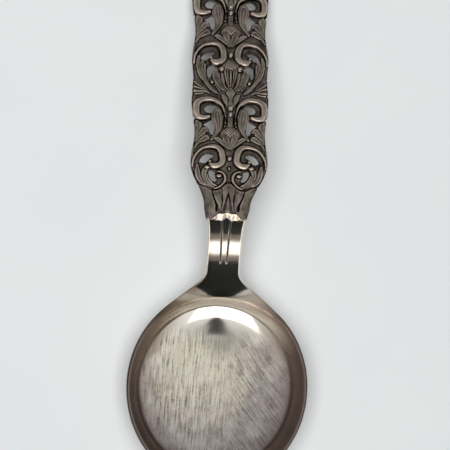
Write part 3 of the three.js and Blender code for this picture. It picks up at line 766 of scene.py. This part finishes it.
unit_pitch = 31.1
first_heart = 70
heart_count = 3
hearts = [first_heart + unit_pitch * unit for unit in range(heart_count)]
lyre_lifts = (0.0, 1.0, 0.0)
swell_from, swell_to = 68.0, 130.2
# The edge draws in at shares of each repeat, by so much, and has bites at places along it, of such a radius
edge_insets = [(0, 0), (0.27, 1), (0.58, 0), (0.83, 0.4), (1, 0)]
edge_bites = [(11, 0.6), (18.4, 0.4), (23.4, 0.4)]
bite_offset = 0.2
foot_half = 8.9
panel_from = 60.6
sheet_gap = 0.05
front_grid = ((-11.7, 59.7), (11.7, 141.15))
front_cell = 0.15

front_sheet = 1.05
ground_sink = 0.38
hole_fall = 0.35
hole_fall_reach = 0.8
edge_fall = 0.45
edge_fall_width = 0.7
front_least = 0.3
leaf_base = 0.72
leaf_rise = 0.6
shell_rise = 0.5
scroll_rise = 1.2
foot_scroll_rise = 0.75
palmette_rise = 0.7
bud_rise = 0.6
border_rise = 0.4
sprig_rise = 0.35
column_rise = 0.3

# One repeat of the pattern, from its heart and for its right half. A hole is a loop of x and y.
# A scroll or a leaf is a line of x, y and the width there.
heart_hole = [[4.75, -0.2], [5.7, 0.3], [6.95, 0.3], [7.95, -0.3], [8.7, -1.25], [9, -1.95], [8.4, -2.35],
              [7.6, -2.45], [6.9, -2.2], [6.4, -1.5], [5.6, -0.85]]
shell_hole = [[5.85, -3.7], [6.9, -4.5], [7.1, -6.3], [6.75, -7.8], [6.1, -7.5], [5.6, -6.45], [4.85, -5.65],
              [3.85, -5], [4.75, -4.1]]
foot_hole = [[6.1, -4.8], [5.2, -4.75], [4.3, -5.15], [4.1, -6.6], [3.65, -7.6], [4.3, -7.8], [5.2, -7.4],
             [5.95, -6.2]]
lyre_hole = [[7.75, 13.8], [7.3, 14.8], [6.05, 15.25], [4.65, 14.9], [3.7, 13.9], [3.95, 12.95], [5.3, 12.65],
             [7.15, 12.8]]
leaf_hole = [[8.05, 9.1], [7.15, 9.8], [6.1, 10.4], [5.6, 10.6], [4.8, 9.7], [4.6, 8.4], [4.85, 7.1],
             [5.3, 6.1], [6.1, 6.7], [6.45, 7.8], [7.25, 8.5]]

heart_scroll = [[5.75, -2.6, 1.2], [4.87, -3.1, 1.9], [3.38, -2.93, 1.9], [2.26, -1.95, 2.1],
                [2.12, -0.5, 2.2], [2.6, 1.15, 2.1], [3.64, 2.3, 1.7], [5.14, 2.65, 1.35], [6.77, 2.45, 1.1],
                [8.15, 1.95, 0.95], [9.34, 1, 0.85], [10.25, -0.2, 0.8], [10.9, -1.7, 0.7],
                [11.08, -3.45, 0.6]]
lyre_scroll = [[6.45, 11.4, 1], [7.77, 11.1, 1.4], [9, 11.15, 1.7], [10, 11.7, 2], [10.4, 13.4, 2.3],
               [10, 15.3, 2.1], [8.65, 16.4, 1.75], [6.84, 16.75, 1.6], [5.07, 16.6, 1.5], [3.6, 15.8, 1.35],
               [2.53, 14.8, 0.9], [1.95, 13.5, 0.6], [1.54, 11.9, 0.45], [1.47, 10.3, 0.4], [1.7, 8.5, 0.35]]
foot_scroll = [[3.4, -4.75, 0.5], [2.8, -4.73, 0.6], [1.65, -5.3, 0.8], [1.12, -6.4, 0.95],
               [1.23, -7.5, 0.95], [2, -8.65, 0.9], [3.05, -9.4, 0.8], [4.3, -9.9, 0.6]]
heart_crest, lyre_crest, foot_crest = -0.35, 0.35, 0.2

foot_leaves = [
    [[6.75, -5.8, 0.6], [6.2, -7.15, 0.7], [5, -8.4, 0.7], [3.6, -9.1, 0.5]],
    [[6.55, -3.55, 1.2], [7.45, -4.7, 1.6], [7.6, -6.15, 1.4], [6.8, -7.65, 1.1], [5.35, -8.9, 0.8],
     [4.3, -9.45, 0.5]],
    [[9.7, -3.2, 0.8], [9.5, -4.9, 1.5], [9, -6.8, 1.5], [7.8, -8.25, 1.2], [6.1, -9.4, 0.8], [5, -9.9, 0.5]],
]
heart_leaves = [
    [[7.9, -4, 0.7], [7.9, -6.05, 0.6], [7.4, -7.6, 0.4]],
    [[8.3, -2.6, 1.1], [8.8, -3.9, 1.1], [8.65, -5.65, 0.9], [7.9, -7.6, 0.7], [6.9, -9.1, 0.4]],
    [[9.6, -1.6, 0.9], [9.95, -3.24, 1.1], [9.6, -5.65, 1.1], [8.8, -7.55, 1.1], [7.5, -9.25, 1],
     [5.9, -11.15, 1], [4.2, -12.5, 0.7]],
]
palmette = [
    [[0.5, 1.7, 0.4], [0.9, 2.3, 0.6], [2.3, 3.7, 1.2], [3.6, 4.7, 1.3], [4.8, 5, 0.6]],
    [[0.15, 1.9, 0.4], [0.65, 3.5, 1.4], [1.4, 5.1, 2.2], [1.6, 5.9, 1]],
]
column = [[0, 8.3, 1.5], [0, 10, 1.6], [0, 11.8, 1.5]]
lyre_leaf = [[4, 12.65, 3], [3.95, 11.5, 3.7], [3.75, 10.3, 3.1], [3.5, 8.9, 2.3], [3.75, 7.4, 1.5],
             [4.55, 6.05, 1.1], [5.5, 4.7, 0.8]]
lyre_leaf_flutes = 4
edge_leaves = [
    [[6.5, 4.9, 0.8], [7.2, 5.1, 1.8], [8.3, 4.5, 1.5], [9.4, 3.7, 1], [10.5, 2, 0.5]],
    [[6.9, 7.2, 0.8], [7.6, 7.4, 2], [8.5, 6.6, 1.9], [9.5, 5.4, 1.2], [10.3, 4, 0.6]],
    [[10, 9.75, 1], [9.7, 8.9, 2.5], [10.1, 7.6, 2], [10.5, 6.2, 1.4], [10.9, 4.2, 0.6]],
]
bud_leaves = [
    [[2.75, 18.2, 0.5], [2.3, 17.9, 1.3], [1.75, 17.1, 1.9], [1.25, 16.1, 1.8], [0.8, 15.1, 1.2]],
    [[0, 15, 2], [0, 16.2, 1.6], [0, 17.4, 1.7], [0, 18.9, 3], [0, 19.7, 1.9], [0, 20.5, 0.3]],
]
shell_flank = [[1.6, 19.6, 0.5], [2.5, 20.2, 1.2], [3.2, 21.1, 1.8], [4.2, 23.2, 2.5], [4.5, 24.6, 2],
               [4.3, 25.3, 0.9]]
shell_ribs = [
    [[0.9, 19.9, 0.3], [1.9, 21, 0.7], [2.45, 23.2, 1.2], [2.6, 24.5, 1]],
    [[0.6, 20.4, 0.3], [1.1, 22, 0.5], [1.5, 23.8, 0.75], [1.75, 25.4, 0.8]],
    [[0.45, 20.6, 0.3], [0.75, 22.5, 0.4], [0.95, 24.5, 0.5], [1.05, 26, 0.5]],
    [[0, 20.6, 0.4], [0, 23, 0.7], [0, 25.5, 0.8]],
]
sprigs = [
    [[10.6, 18.2, 0.5], [9.3, 18.3, 0.5], [8, 18.55, 0.4]],
    [[11, 22, 0.4], [10.1, 21.2, 0.5], [8.9, 20.4, 0.5], [7.2, 19.4, 0.4]],
    [[11, 20.45, 0.5], [10, 20.2, 0.5], [8.8, 19.8, 0.5], [7.6, 19.3, 0.3]],
    [[10.9, 19.1, 0.7], [9.1, 19.1, 0.8], [7.8, 19.2, 0.7], [6.3, 18.55, 0.5]],
]
border = [[11.15, -3.6, 0.7], [11.35, -1.6, 0.8], [11.25, 0.4, 0.8], [10.9, 2.2, 0.6]]
end_leaves = [
    [[7.6, 4.6, 0.4], [5.4, 5.9, 1.2], [3, 6.6, 0.5]],
    [[10.4, 1, 0.4], [9.2, 4.2, 1.5], [6.4, 6.6, 1.6], [3.2, 7.6, 0.6]],
]

# Bosses: the middle, the half-sizes and the rise of each
hood = ((0, 26.9), (2.55, 2), 0.75)
shell_ball = ((5.65, 21.85), (0.55, 0.55), 0.7)
shell_dot_places = [(4.6, 21.1), (4.2, 20.5), (3.75, 20), (3.4, 19.5)]
shell_dots = [(middle, (0.3, 0.3), 0.5) for middle in shell_dot_places]
hatched_boss = ((0, 6.2), (3.1, 2.3), 0.9)
scroll_eye = ((5.9, -1.8), (0.6, 0.5), 0.8)
foot_bosses = [((3, -6.05), (0.9, 0.55), 0.8), ((6.7, -3.6), (0.95, 0.6), 0.85),
               ((0, -3.8), (0.4, 0.6), 0.4)]
hatch_pitch = 0.85
hatch_depth = 0.45
carved_share = 0.95
hood_arc_out, hood_arc_width, hood_arc_depth = 0.72, 0.07, 0.14
hood_arc_from, hood_arc_full = -0.8, 0.0

# Seats of the beads: x, y and the bead's radius
bead_seats = [(0, -0.8, 0.62), (0, 14.1, 0.75), (0, 12.3, 0.62), (2.75, 26, 0.62)]
seat_depth = 0.4
seat_ring = 0.5


def panel_half(y):
    """Half-width of the panel: it opens from the cuff, draws in and out with the pattern and ends round."""
    along = (y - swell_from) / unit_pitch % 1
    inset = 0
    for (start, start_inset), (end, end_inset) in zip(edge_insets, edge_insets[1:]):
        inside = (along >= start) & (along < end)
        inset = np.where(inside, blend(start_inset, end_inset, climb(along, start, end)), inset)
    half = handle_width / 2 - inset
    opening = np.sin(np.clip((y - panel_from) / (swell_from - panel_from), 0, 1) * math.pi / 2)
    half = np.where(y < swell_from, blend(foot_half, handle_width / 2, opening), half)
    end_share = np.clip((y - swell_to) / (handle_end - swell_to), 0, 1)
    return np.where(y > swell_to, handle_width / 2 * np.sqrt(1 - end_share**2), half)


def panel_depth(x, y):
    """How far inside the panel's outer edge points lie."""
    edge = (panel_half(y) - x) / np.hypot(1, slope(panel_half, y, step=0.05))
    edge = np.minimum(edge, y - np.interp(x, *zip(*panel_foot)) - solder_line / 2)
    for heart in hearts[:-1]:
        for bite, radius in edge_bites:
            bite_y = heart + bite
            bite_x = panel_half(bite_y) + bite_offset
            edge = np.minimum(edge, np.hypot(x - bite_x, y - bite_y) - radius)
    return edge


def hole_depth(x, y):
    """How far outside the piercings points lie."""
    furthest = 3.0
    depth = np.full(x.shape, furthest)
    for unit, heart in enumerate(hearts):
        holes = [(heart_hole, heart), (foot_hole if unit == 0 else shell_hole, heart)]
        if heart != hearts[-1]:
            holes += [(hole, heart + lyre_lifts[unit]) for hole in (lyre_hole, leaf_hole)]
        for hole, foot in holes:
            loop = smooth_line(hole, 8, closed=True) + (0, foot)
            near = within({"x": x, "y": y}, loop, furthest)
            px, py = x[near], y[near]
            gap = nearest(px, py, loop)[0]
            (ax, ay), (bx, by) = loop[:-1].T, loop[1:].T
            crossed = (ay > py[:, None]) != (by > py[:, None])
            reach = ax + (py[:, None] - ay) * (bx - ax) / np.where(by == ay, 1, by - ay)
            inside = np.sum(crossed & (px[:, None] < reach), axis=1) % 2 == 1
            depth[near] = np.minimum(depth[near], np.where(inside, -gap, gap))
    return depth


def hatching(x, y):
    """Depth of the crossed lines cut into a boss."""
    one_way, other_way = (np.abs(np.sin(math.pi * line / hatch_pitch)) for line in (x + y, x - y))
    return hatch_depth * (1 - one_way * other_way) ** 2


def hood_arc(x, y):
    """Depth of a faint arc that follows the hood's own outline, on its upper part."""
    _, (half_width, half_height), _ = hood
    off_arc = np.hypot(x / half_width, y / half_height) - hood_arc_out
    cut = np.exp(-((off_arc / hood_arc_width) ** 2))
    return hood_arc_depth * cut * climb(y, hood_arc_from, hood_arc_full)


def lay_leaves(field, foot, lines, rise, **shape):
    """Leaves or scrolls of one repeat of the pattern, measured from its foot."""
    for line in lines:
        lay_leaf(field, np.add(line, (0, foot, 0)), rise, **shape)


def lay_boss(field, foot, middle, radii, rise, carving=None):
    """A domed boss of one repeat of the pattern, plain or with a pattern cut into it."""
    middle = np.add(middle, (0, foot))
    near = within(field, middle[None], max(radii) + groove_width)
    x, y = field["x"][near] - middle[0], field["y"][near] - middle[1]
    out = np.hypot(x / radii[0], y / radii[1])
    top = rise * np.sqrt(np.clip(1 - out**2, 0, 1))
    if carving:
        top -= carving(x, y) * (out < carved_share)
    lay(field, near, (1 - out) * min(radii), top)


def carve_front(x, y):
    """Lays one form over another, as the photo shows them, in each repeat of the pattern."""
    field = {"x": np.abs(x).ravel(), "y": y.ravel()}
    outline = panel_depth(field["x"], field["y"])
    holes = hole_depth(field["x"], field["y"])
    field["metal"] = holes.copy()
    field["base"] = np.full(field["x"].shape, leaf_base)
    fall = hole_fall * np.exp(-np.clip(holes, 0, None) / hole_fall_reach)
    field["height"] = front_sheet - ground_sink - fall
    for unit, heart in enumerate(hearts):
        is_first, is_last = unit == 0, heart == hearts[-1]
        lyre = heart + lyre_lifts[unit]
        lay_leaves(field, heart, [border], border_rise)
        lay_leaves(field, heart, foot_leaves if is_first else heart_leaves, leaf_rise, flutes=1)
        if is_last:
            lay_leaves(field, heart, end_leaves, leaf_rise, flutes=1)
        else:
            lay_leaves(field, heart, sprigs, sprig_rise)
            lay_leaves(field, lyre, edge_leaves, leaf_rise, flutes=1)
            lay_leaves(field, heart, [column], column_rise)
            lay_leaves(field, lyre, [lyre_leaf], leaf_rise, flutes=lyre_leaf_flutes)
            lay_boss(field, heart, *hood, hood_arc)
            lay_leaves(field, heart, [shell_flank], shell_rise, flutes=1)
            lay_leaves(field, heart, shell_ribs, shell_rise)
            for boss in [*shell_dots, shell_ball]:
                lay_boss(field, heart, *boss)
            lay_leaves(field, heart, bud_leaves, bud_rise)
        lay_boss(field, heart, *hatched_boss, hatching)
        lay_leaves(field, heart, palmette, palmette_rise, flutes=1)
        lay_leaves(field, heart, [heart_scroll], scroll_rise, crest=heart_crest)
        lay_boss(field, heart, *scroll_eye)
        if is_first:
            lay_leaves(field, heart, [foot_scroll], foot_scroll_rise, crest=foot_crest)
            for boss in foot_bosses:
                lay_boss(field, heart, *boss)
        if not is_last:
            lay_leaves(field, lyre, [lyre_scroll], scroll_rise, crest=lyre_crest)
        for seat_x, seat_y, radius in bead_seats[:1] if is_last else bead_seats:
            off_seat = np.hypot(field["x"] - seat_x, field["y"] - heart - seat_y)
            field["height"] -= seat_depth * (1 - ease((off_seat - radius) / seat_ring))
    height = np.maximum(field["height"] - edge_fall * (1 - ease(outline / edge_fall_width)), front_least)
    metal = np.minimum(outline, field["metal"])
    return metal.reshape(x.shape), height.reshape(x.shape)


front_mesh = relief_mesh(*front_grid, front_cell, carve_front, lambda x, y: sheet_gap)
fit_carving("handle_front_casting", front_mesh, tarnished, "handle_front", "oxidised_silver")

# Handle back
# A plain silver sheet behind the carved panel, with the same outline and piercings. It was sawn, filed round
# at its edges and soldered on.

back_sheet = 1.3
back_edge_fall = 0.35
back_edge_width = 0.6
back_grid = ((-11.7, 59.7), (11.7, 141.3))
back_grid_cell = 0.3


def carve_back(x, y):
    across, along = np.abs(x).ravel(), y.ravel()
    depth = np.minimum(panel_depth(across, along), hole_depth(across, along))
    height = back_sheet - back_edge_fall * (1 - ease(depth / back_edge_width))
    return depth.reshape(x.shape), height.reshape(x.shape)


# Plain silver: a filed sheet, dulled by touch and light tarnish. The eye gets an even warm grey satin.
# File marks are drawn as coarse as they need to show.
def plain_silver():
    patch_size, mark_spacing, mark_length = 6.0, 0.5, 9.0
    material, here = new_material("plain_silver")
    patches = node(material, "ShaderNodeTexNoise", {"Vector": here, "Scale": 1 / patch_size, "Detail": 3.0})
    stretch = (1 / mark_spacing, 1 / mark_length, 1 / mark_length)
    drawn_out = node(material, "ShaderNodeMapping", {"Vector": here, "Scale": stretch})
    marks = node(material, "ShaderNodeTexNoise", {"Vector": drawn_out, "Scale": 1.0, "Detail": 4.0})
    tones = {0: patches, 6: colour("#b5aaa1"), 7: colour("#8c8178")}
    tone = node(material, "ShaderNodeMix", tones, 2, data_type="RGBA")
    rough = node(material, "ShaderNodeMapRange", {0: marks, 1: 0.3, 2: 0.7, 3: 0.28, 4: 0.45})
    silver_shader(material, {"Base Color": tone, "Roughness": rough})
    return material


back_mesh = relief_mesh(*back_grid, back_grid_cell, carve_back, lambda x, y: -sheet_gap, facing=-1)
fit_piece("handle_back_sheet", *back_mesh[:2], plain_silver(), "handle_back", "plain_silver", sharp_angle=75)

# Beads
# Small balls of silver shot on the middle line and beside the shells. Each is soldered to the front on a thin
# collar of solder and rubbed bright on top.

bead_ground = 1.0
bead_sink = 0.2
bead_profile = [(0, 0.96), (0.22, 0.95), (0.42, 0.89), (0.6, 0.78), (0.77, 0.62), (0.9, 0.42), (0.98, 0.16),
                (1, -0.08), (0.97, -0.28), (0.93, -0.4), (1.02, -0.48), (1.14, -0.58), (1.18, -0.75),
                (0, -0.75)]


def bead_mesh(x, y, radius, steps=28):
    """A bead on its collar, turned to stand square on the handle. The profile is a share of its radius."""
    foot = place(x, y, 0)[0]
    up = place(x, y, 1)[0] - foot
    side = np.array([1.0, 0, 0])
    ahead = np.cross(up, side)
    middle = foot + up * (bead_ground + radius - bead_sink)
    turn = np.arange(steps) * 2 * math.pi / steps
    circle = np.outer(np.cos(turn), side) + np.outer(np.sin(turn), ahead)
    (_, top), *rings, (_, bottom) = bead_profile
    points = [middle + up * radius * top]
    for out, height in rings:
        points.extend(middle + radius * (out * circle + height * up))
    points.append(middle + up * radius * bottom)
    ring = 1 + np.arange(len(rings) * steps).reshape(len(rings), steps)
    turned = np.roll(ring, -1, axis=1)
    cap = [(0, ring[0, i], turned[0, i]) for i in range(steps)]
    base = [(len(points) - 1, turned[-1, i], ring[-1, i]) for i in range(steps)]
    return np.array(points), cap + quads(ring, closed=True) + base


# Bright silver: shot that stands highest and is rubbed most. The eye gets small sharp highlights.
def bright_silver():
    patch_size = 0.8
    material, here = new_material("bright_silver")
    patches = node(material, "ShaderNodeTexNoise", {"Vector": here, "Scale": 1 / patch_size, "Detail": 2.0})
    tones = {0: patches, 6: colour("#cbc3b8"), 7: colour("#968c83")}
    tone = node(material, "ShaderNodeMix", tones, 2, data_type="RGBA")
    silver_shader(material, {"Base Color": tone, "Roughness": 0.22})
    return material


heart_seat, large_seat, small_seat, shell_seat = bead_seats
rubbed_bright = bright_silver()
for unit, heart in enumerate(hearts, 1):
    seats = {"heart_bead": heart_seat}
    if heart != hearts[-1]:
        left_seat = (-shell_seat[0], *shell_seat[1:])
        seats |= {"lyre_bead_large": large_seat, "lyre_bead_small": small_seat,
                  "shell_bead_left": left_seat, "shell_bead_right": shell_seat}
    for name, (seat_x, seat_y, radius) in seats.items():
        cad_node = f"{name}_{unit}"
        shot = bead_mesh(seat_x, heart + seat_y, radius)
        fit_piece(cad_node + "_shot", *shot, rubbed_bright, cad_node, "bright_silver")

# Table, light and camera
# A matt white card lies under the spoon in a pale room, brighter beyond the bowl than beyond the handle.
# One softbox hangs over it, and a window-like one stands at its foot. Cards darken what the neck reflects.
# The table, the lamps and the cards are in metres, and all else is in millimetres.

table_size = 4.0
mottle_size = 40.0
bpy.ops.mesh.primitive_plane_add(size=table_size, location=(0, 0, 0))
table = bpy.context.object
table.name = "table"
table_material, table_here = new_material("matt_white_card")
mottling = {"Vector": table_here, "Scale": 1 / mottle_size, "Detail": 2.0}
mottle = node(table_material, "ShaderNodeTexNoise", mottling)
table_tones = {0: mottle, 6: colour("#ebeff1"), 7: colour("#f2f5f6")}
table_tone = node(table_material, "ShaderNodeMix", table_tones, 2, data_type="RGBA")
table_shader = node(table_material, "ShaderNodeBsdfPrincipled", {"Base Color": table_tone, "Roughness": 0.9})
node(table_material, "ShaderNodeOutputMaterial", {"Surface": table_shader})
table.data.materials.append(table_material)

room_tone = (0.97, 0.98, 1, 1)
room_seen, room_glow = 0.8, 0.06
room_beyond_bowl, room_beyond_handle = 1.0, 0.3
world = clear_nodes(bpy.data.worlds.new("pale_room"))
bpy.context.scene.world = world
ray = node(world, "ShaderNodeLightPath").node.outputs
toward = node(world, "ShaderNodeTexCoord", out="Generated")
lengthwise = node(world, "ShaderNodeSeparateXYZ", {0: toward}, 1)
bowl_to_handle = {0: lengthwise, 1: -1.0, 2: 1.0, 3: room_beyond_bowl, 4: room_beyond_handle}
reflected = node(world, "ShaderNodeMapRange", bowl_to_handle)
lit = node(world, "ShaderNodeMix", {0: ray["Is Glossy Ray"], 2: room_glow, 3: reflected})
seen = node(world, "ShaderNodeMix", {0: ray["Is Camera Ray"], 2: lit, 3: room_seen})
backdrop = node(world, "ShaderNodeBackground", {"Color": room_tone, "Strength": seen})
node(world, "ShaderNodeOutputWorld", {"Surface": backdrop})

neck_middle = Vector((0, 0.035, 0.015))
window_size, window_watts, window_tone = (0.68, 0.84), 2.3, (1.0, 0.97, 0.92)
window_angle, window_distance = 60.6, 0.85
overhead_size, overhead_watts, overhead_tone = (1.1, 1.1), 17.3, (1.0, 0.99, 0.98)
overhead_place = (-0.14, 0.05, 1.3)


def toward_foot(degrees, distance):
    """A point at the foot of the spoon, so far from its neck and so many degrees from straight above."""
    angle = math.radians(degrees)
    return neck_middle + distance * Vector((0, -math.sin(angle), math.cos(angle)))


def face_neck(thing):
    thing.rotation_euler = (neck_middle - thing.location).to_track_quat("-Z", "Y").to_euler()


def softbox(name, size, watts, tone, where):
    lamp = bpy.data.lights.new(name, "AREA")
    lamp.shape = "RECTANGLE"
    lamp.size, lamp.size_y = size
    lamp.energy, lamp.color = watts, tone
    box = add_object(name, lamp)
    box.location = where
    face_neck(box)
    box.visible_camera = False
    return box


window_place = toward_foot(window_angle, window_distance)
window = softbox("window_softbox", window_size, window_watts, window_tone, window_place)
window.visible_diffuse = False
overhead = softbox("overhead_softbox", overhead_size, overhead_watts, overhead_tone, overhead_place)
overhead.visible_glossy = False

# Each card: angles from straight above, and its half-width there, in degrees as seen from the neck
card_distance, card_shift = 0.8, 0.087
black_card = [(11.0, 1.0), (12.2, 1.6), (14.0, 2.1), (18.0, 2.5), (22.0, 2.85), (27.0, 2.95), (31.0, 2.5),
              (35.0, 1.4)]
brown_card = [(35.0, 2.4), (36.1, 2.4)]


def reflected_card(name, widths, tone):
    """A matt card that only the neck's reflections show."""
    middle_angle = (widths[0][0] + widths[-1][0]) / 2

    def out(degrees):
        return card_distance * math.tan(math.radians(degrees))

    right_side = [(out(half), out(middle_angle - angle), 0) for angle, half in widths]
    left_side = [(-x, y, 0) for x, y, _ in reversed(right_side)]
    mesh = bpy.data.meshes.new(name)
    mesh.from_pydata(right_side + left_side, [], [range(2 * len(widths))])
    card = add_object(name, mesh)
    card.location = toward_foot(middle_angle, card_distance)
    face_neck(card)
    card.location.x = card_shift
    card.visible_camera = False
    card.visible_shadow = False
    material = clear_nodes(bpy.data.materials.new("matt_" + name))
    shader = node(material, "ShaderNodeBsdfDiffuse", {"Color": colour(tone)})
    node(material, "ShaderNodeOutputMaterial", {"Surface": shader})
    mesh.materials.append(material)


reflected_card("black_card", black_card, "#3a3d3d")
reflected_card("brown_card", brown_card, "#a8938b")

# The camera looks straight down on the bowl's rim, leans a little to the left and is turned with the photo.
photo_pixels = 450
bowl_middle_pixel = (217.3, 388.0)
pixel_size = 0.3022
camera_roll = math.radians(2.34)
camera_lean = math.radians(6.2)
camera_distance = 900.0
photo_right = Vector((math.cos(camera_roll), math.sin(camera_roll), 0))
photo_up = Vector((-math.sin(camera_roll), math.cos(camera_roll), 0))
pixels_right = photo_pixels / 2 - bowl_middle_pixel[0]
pixels_up = bowl_middle_pixel[1] - photo_pixels / 2
aim = Vector((0, 0, bowl_height)) + pixel_size * (pixels_right * photo_right + pixels_up * photo_up)
to_camera = Vector((-math.sin(camera_lean), 0, math.cos(camera_lean)))
camera_side = photo_up.cross(to_camera).normalized()
camera_data = bpy.data.cameras.new("camera")
camera_data.sensor_width = 36.0
camera_data.lens = camera_data.sensor_width * camera_distance / (photo_pixels * pixel_size)
camera = add_object("camera", camera_data)
camera_turn = Matrix((camera_side, to_camera.cross(camera_side), to_camera)).transposed().to_4x4()
camera.matrix_world = Matrix.Translation((aim + camera_distance * to_camera) * MM) @ camera_turn
bpy.context.scene.camera = camera
bpy.context.scene.view_settings.view_transform = "Standard"
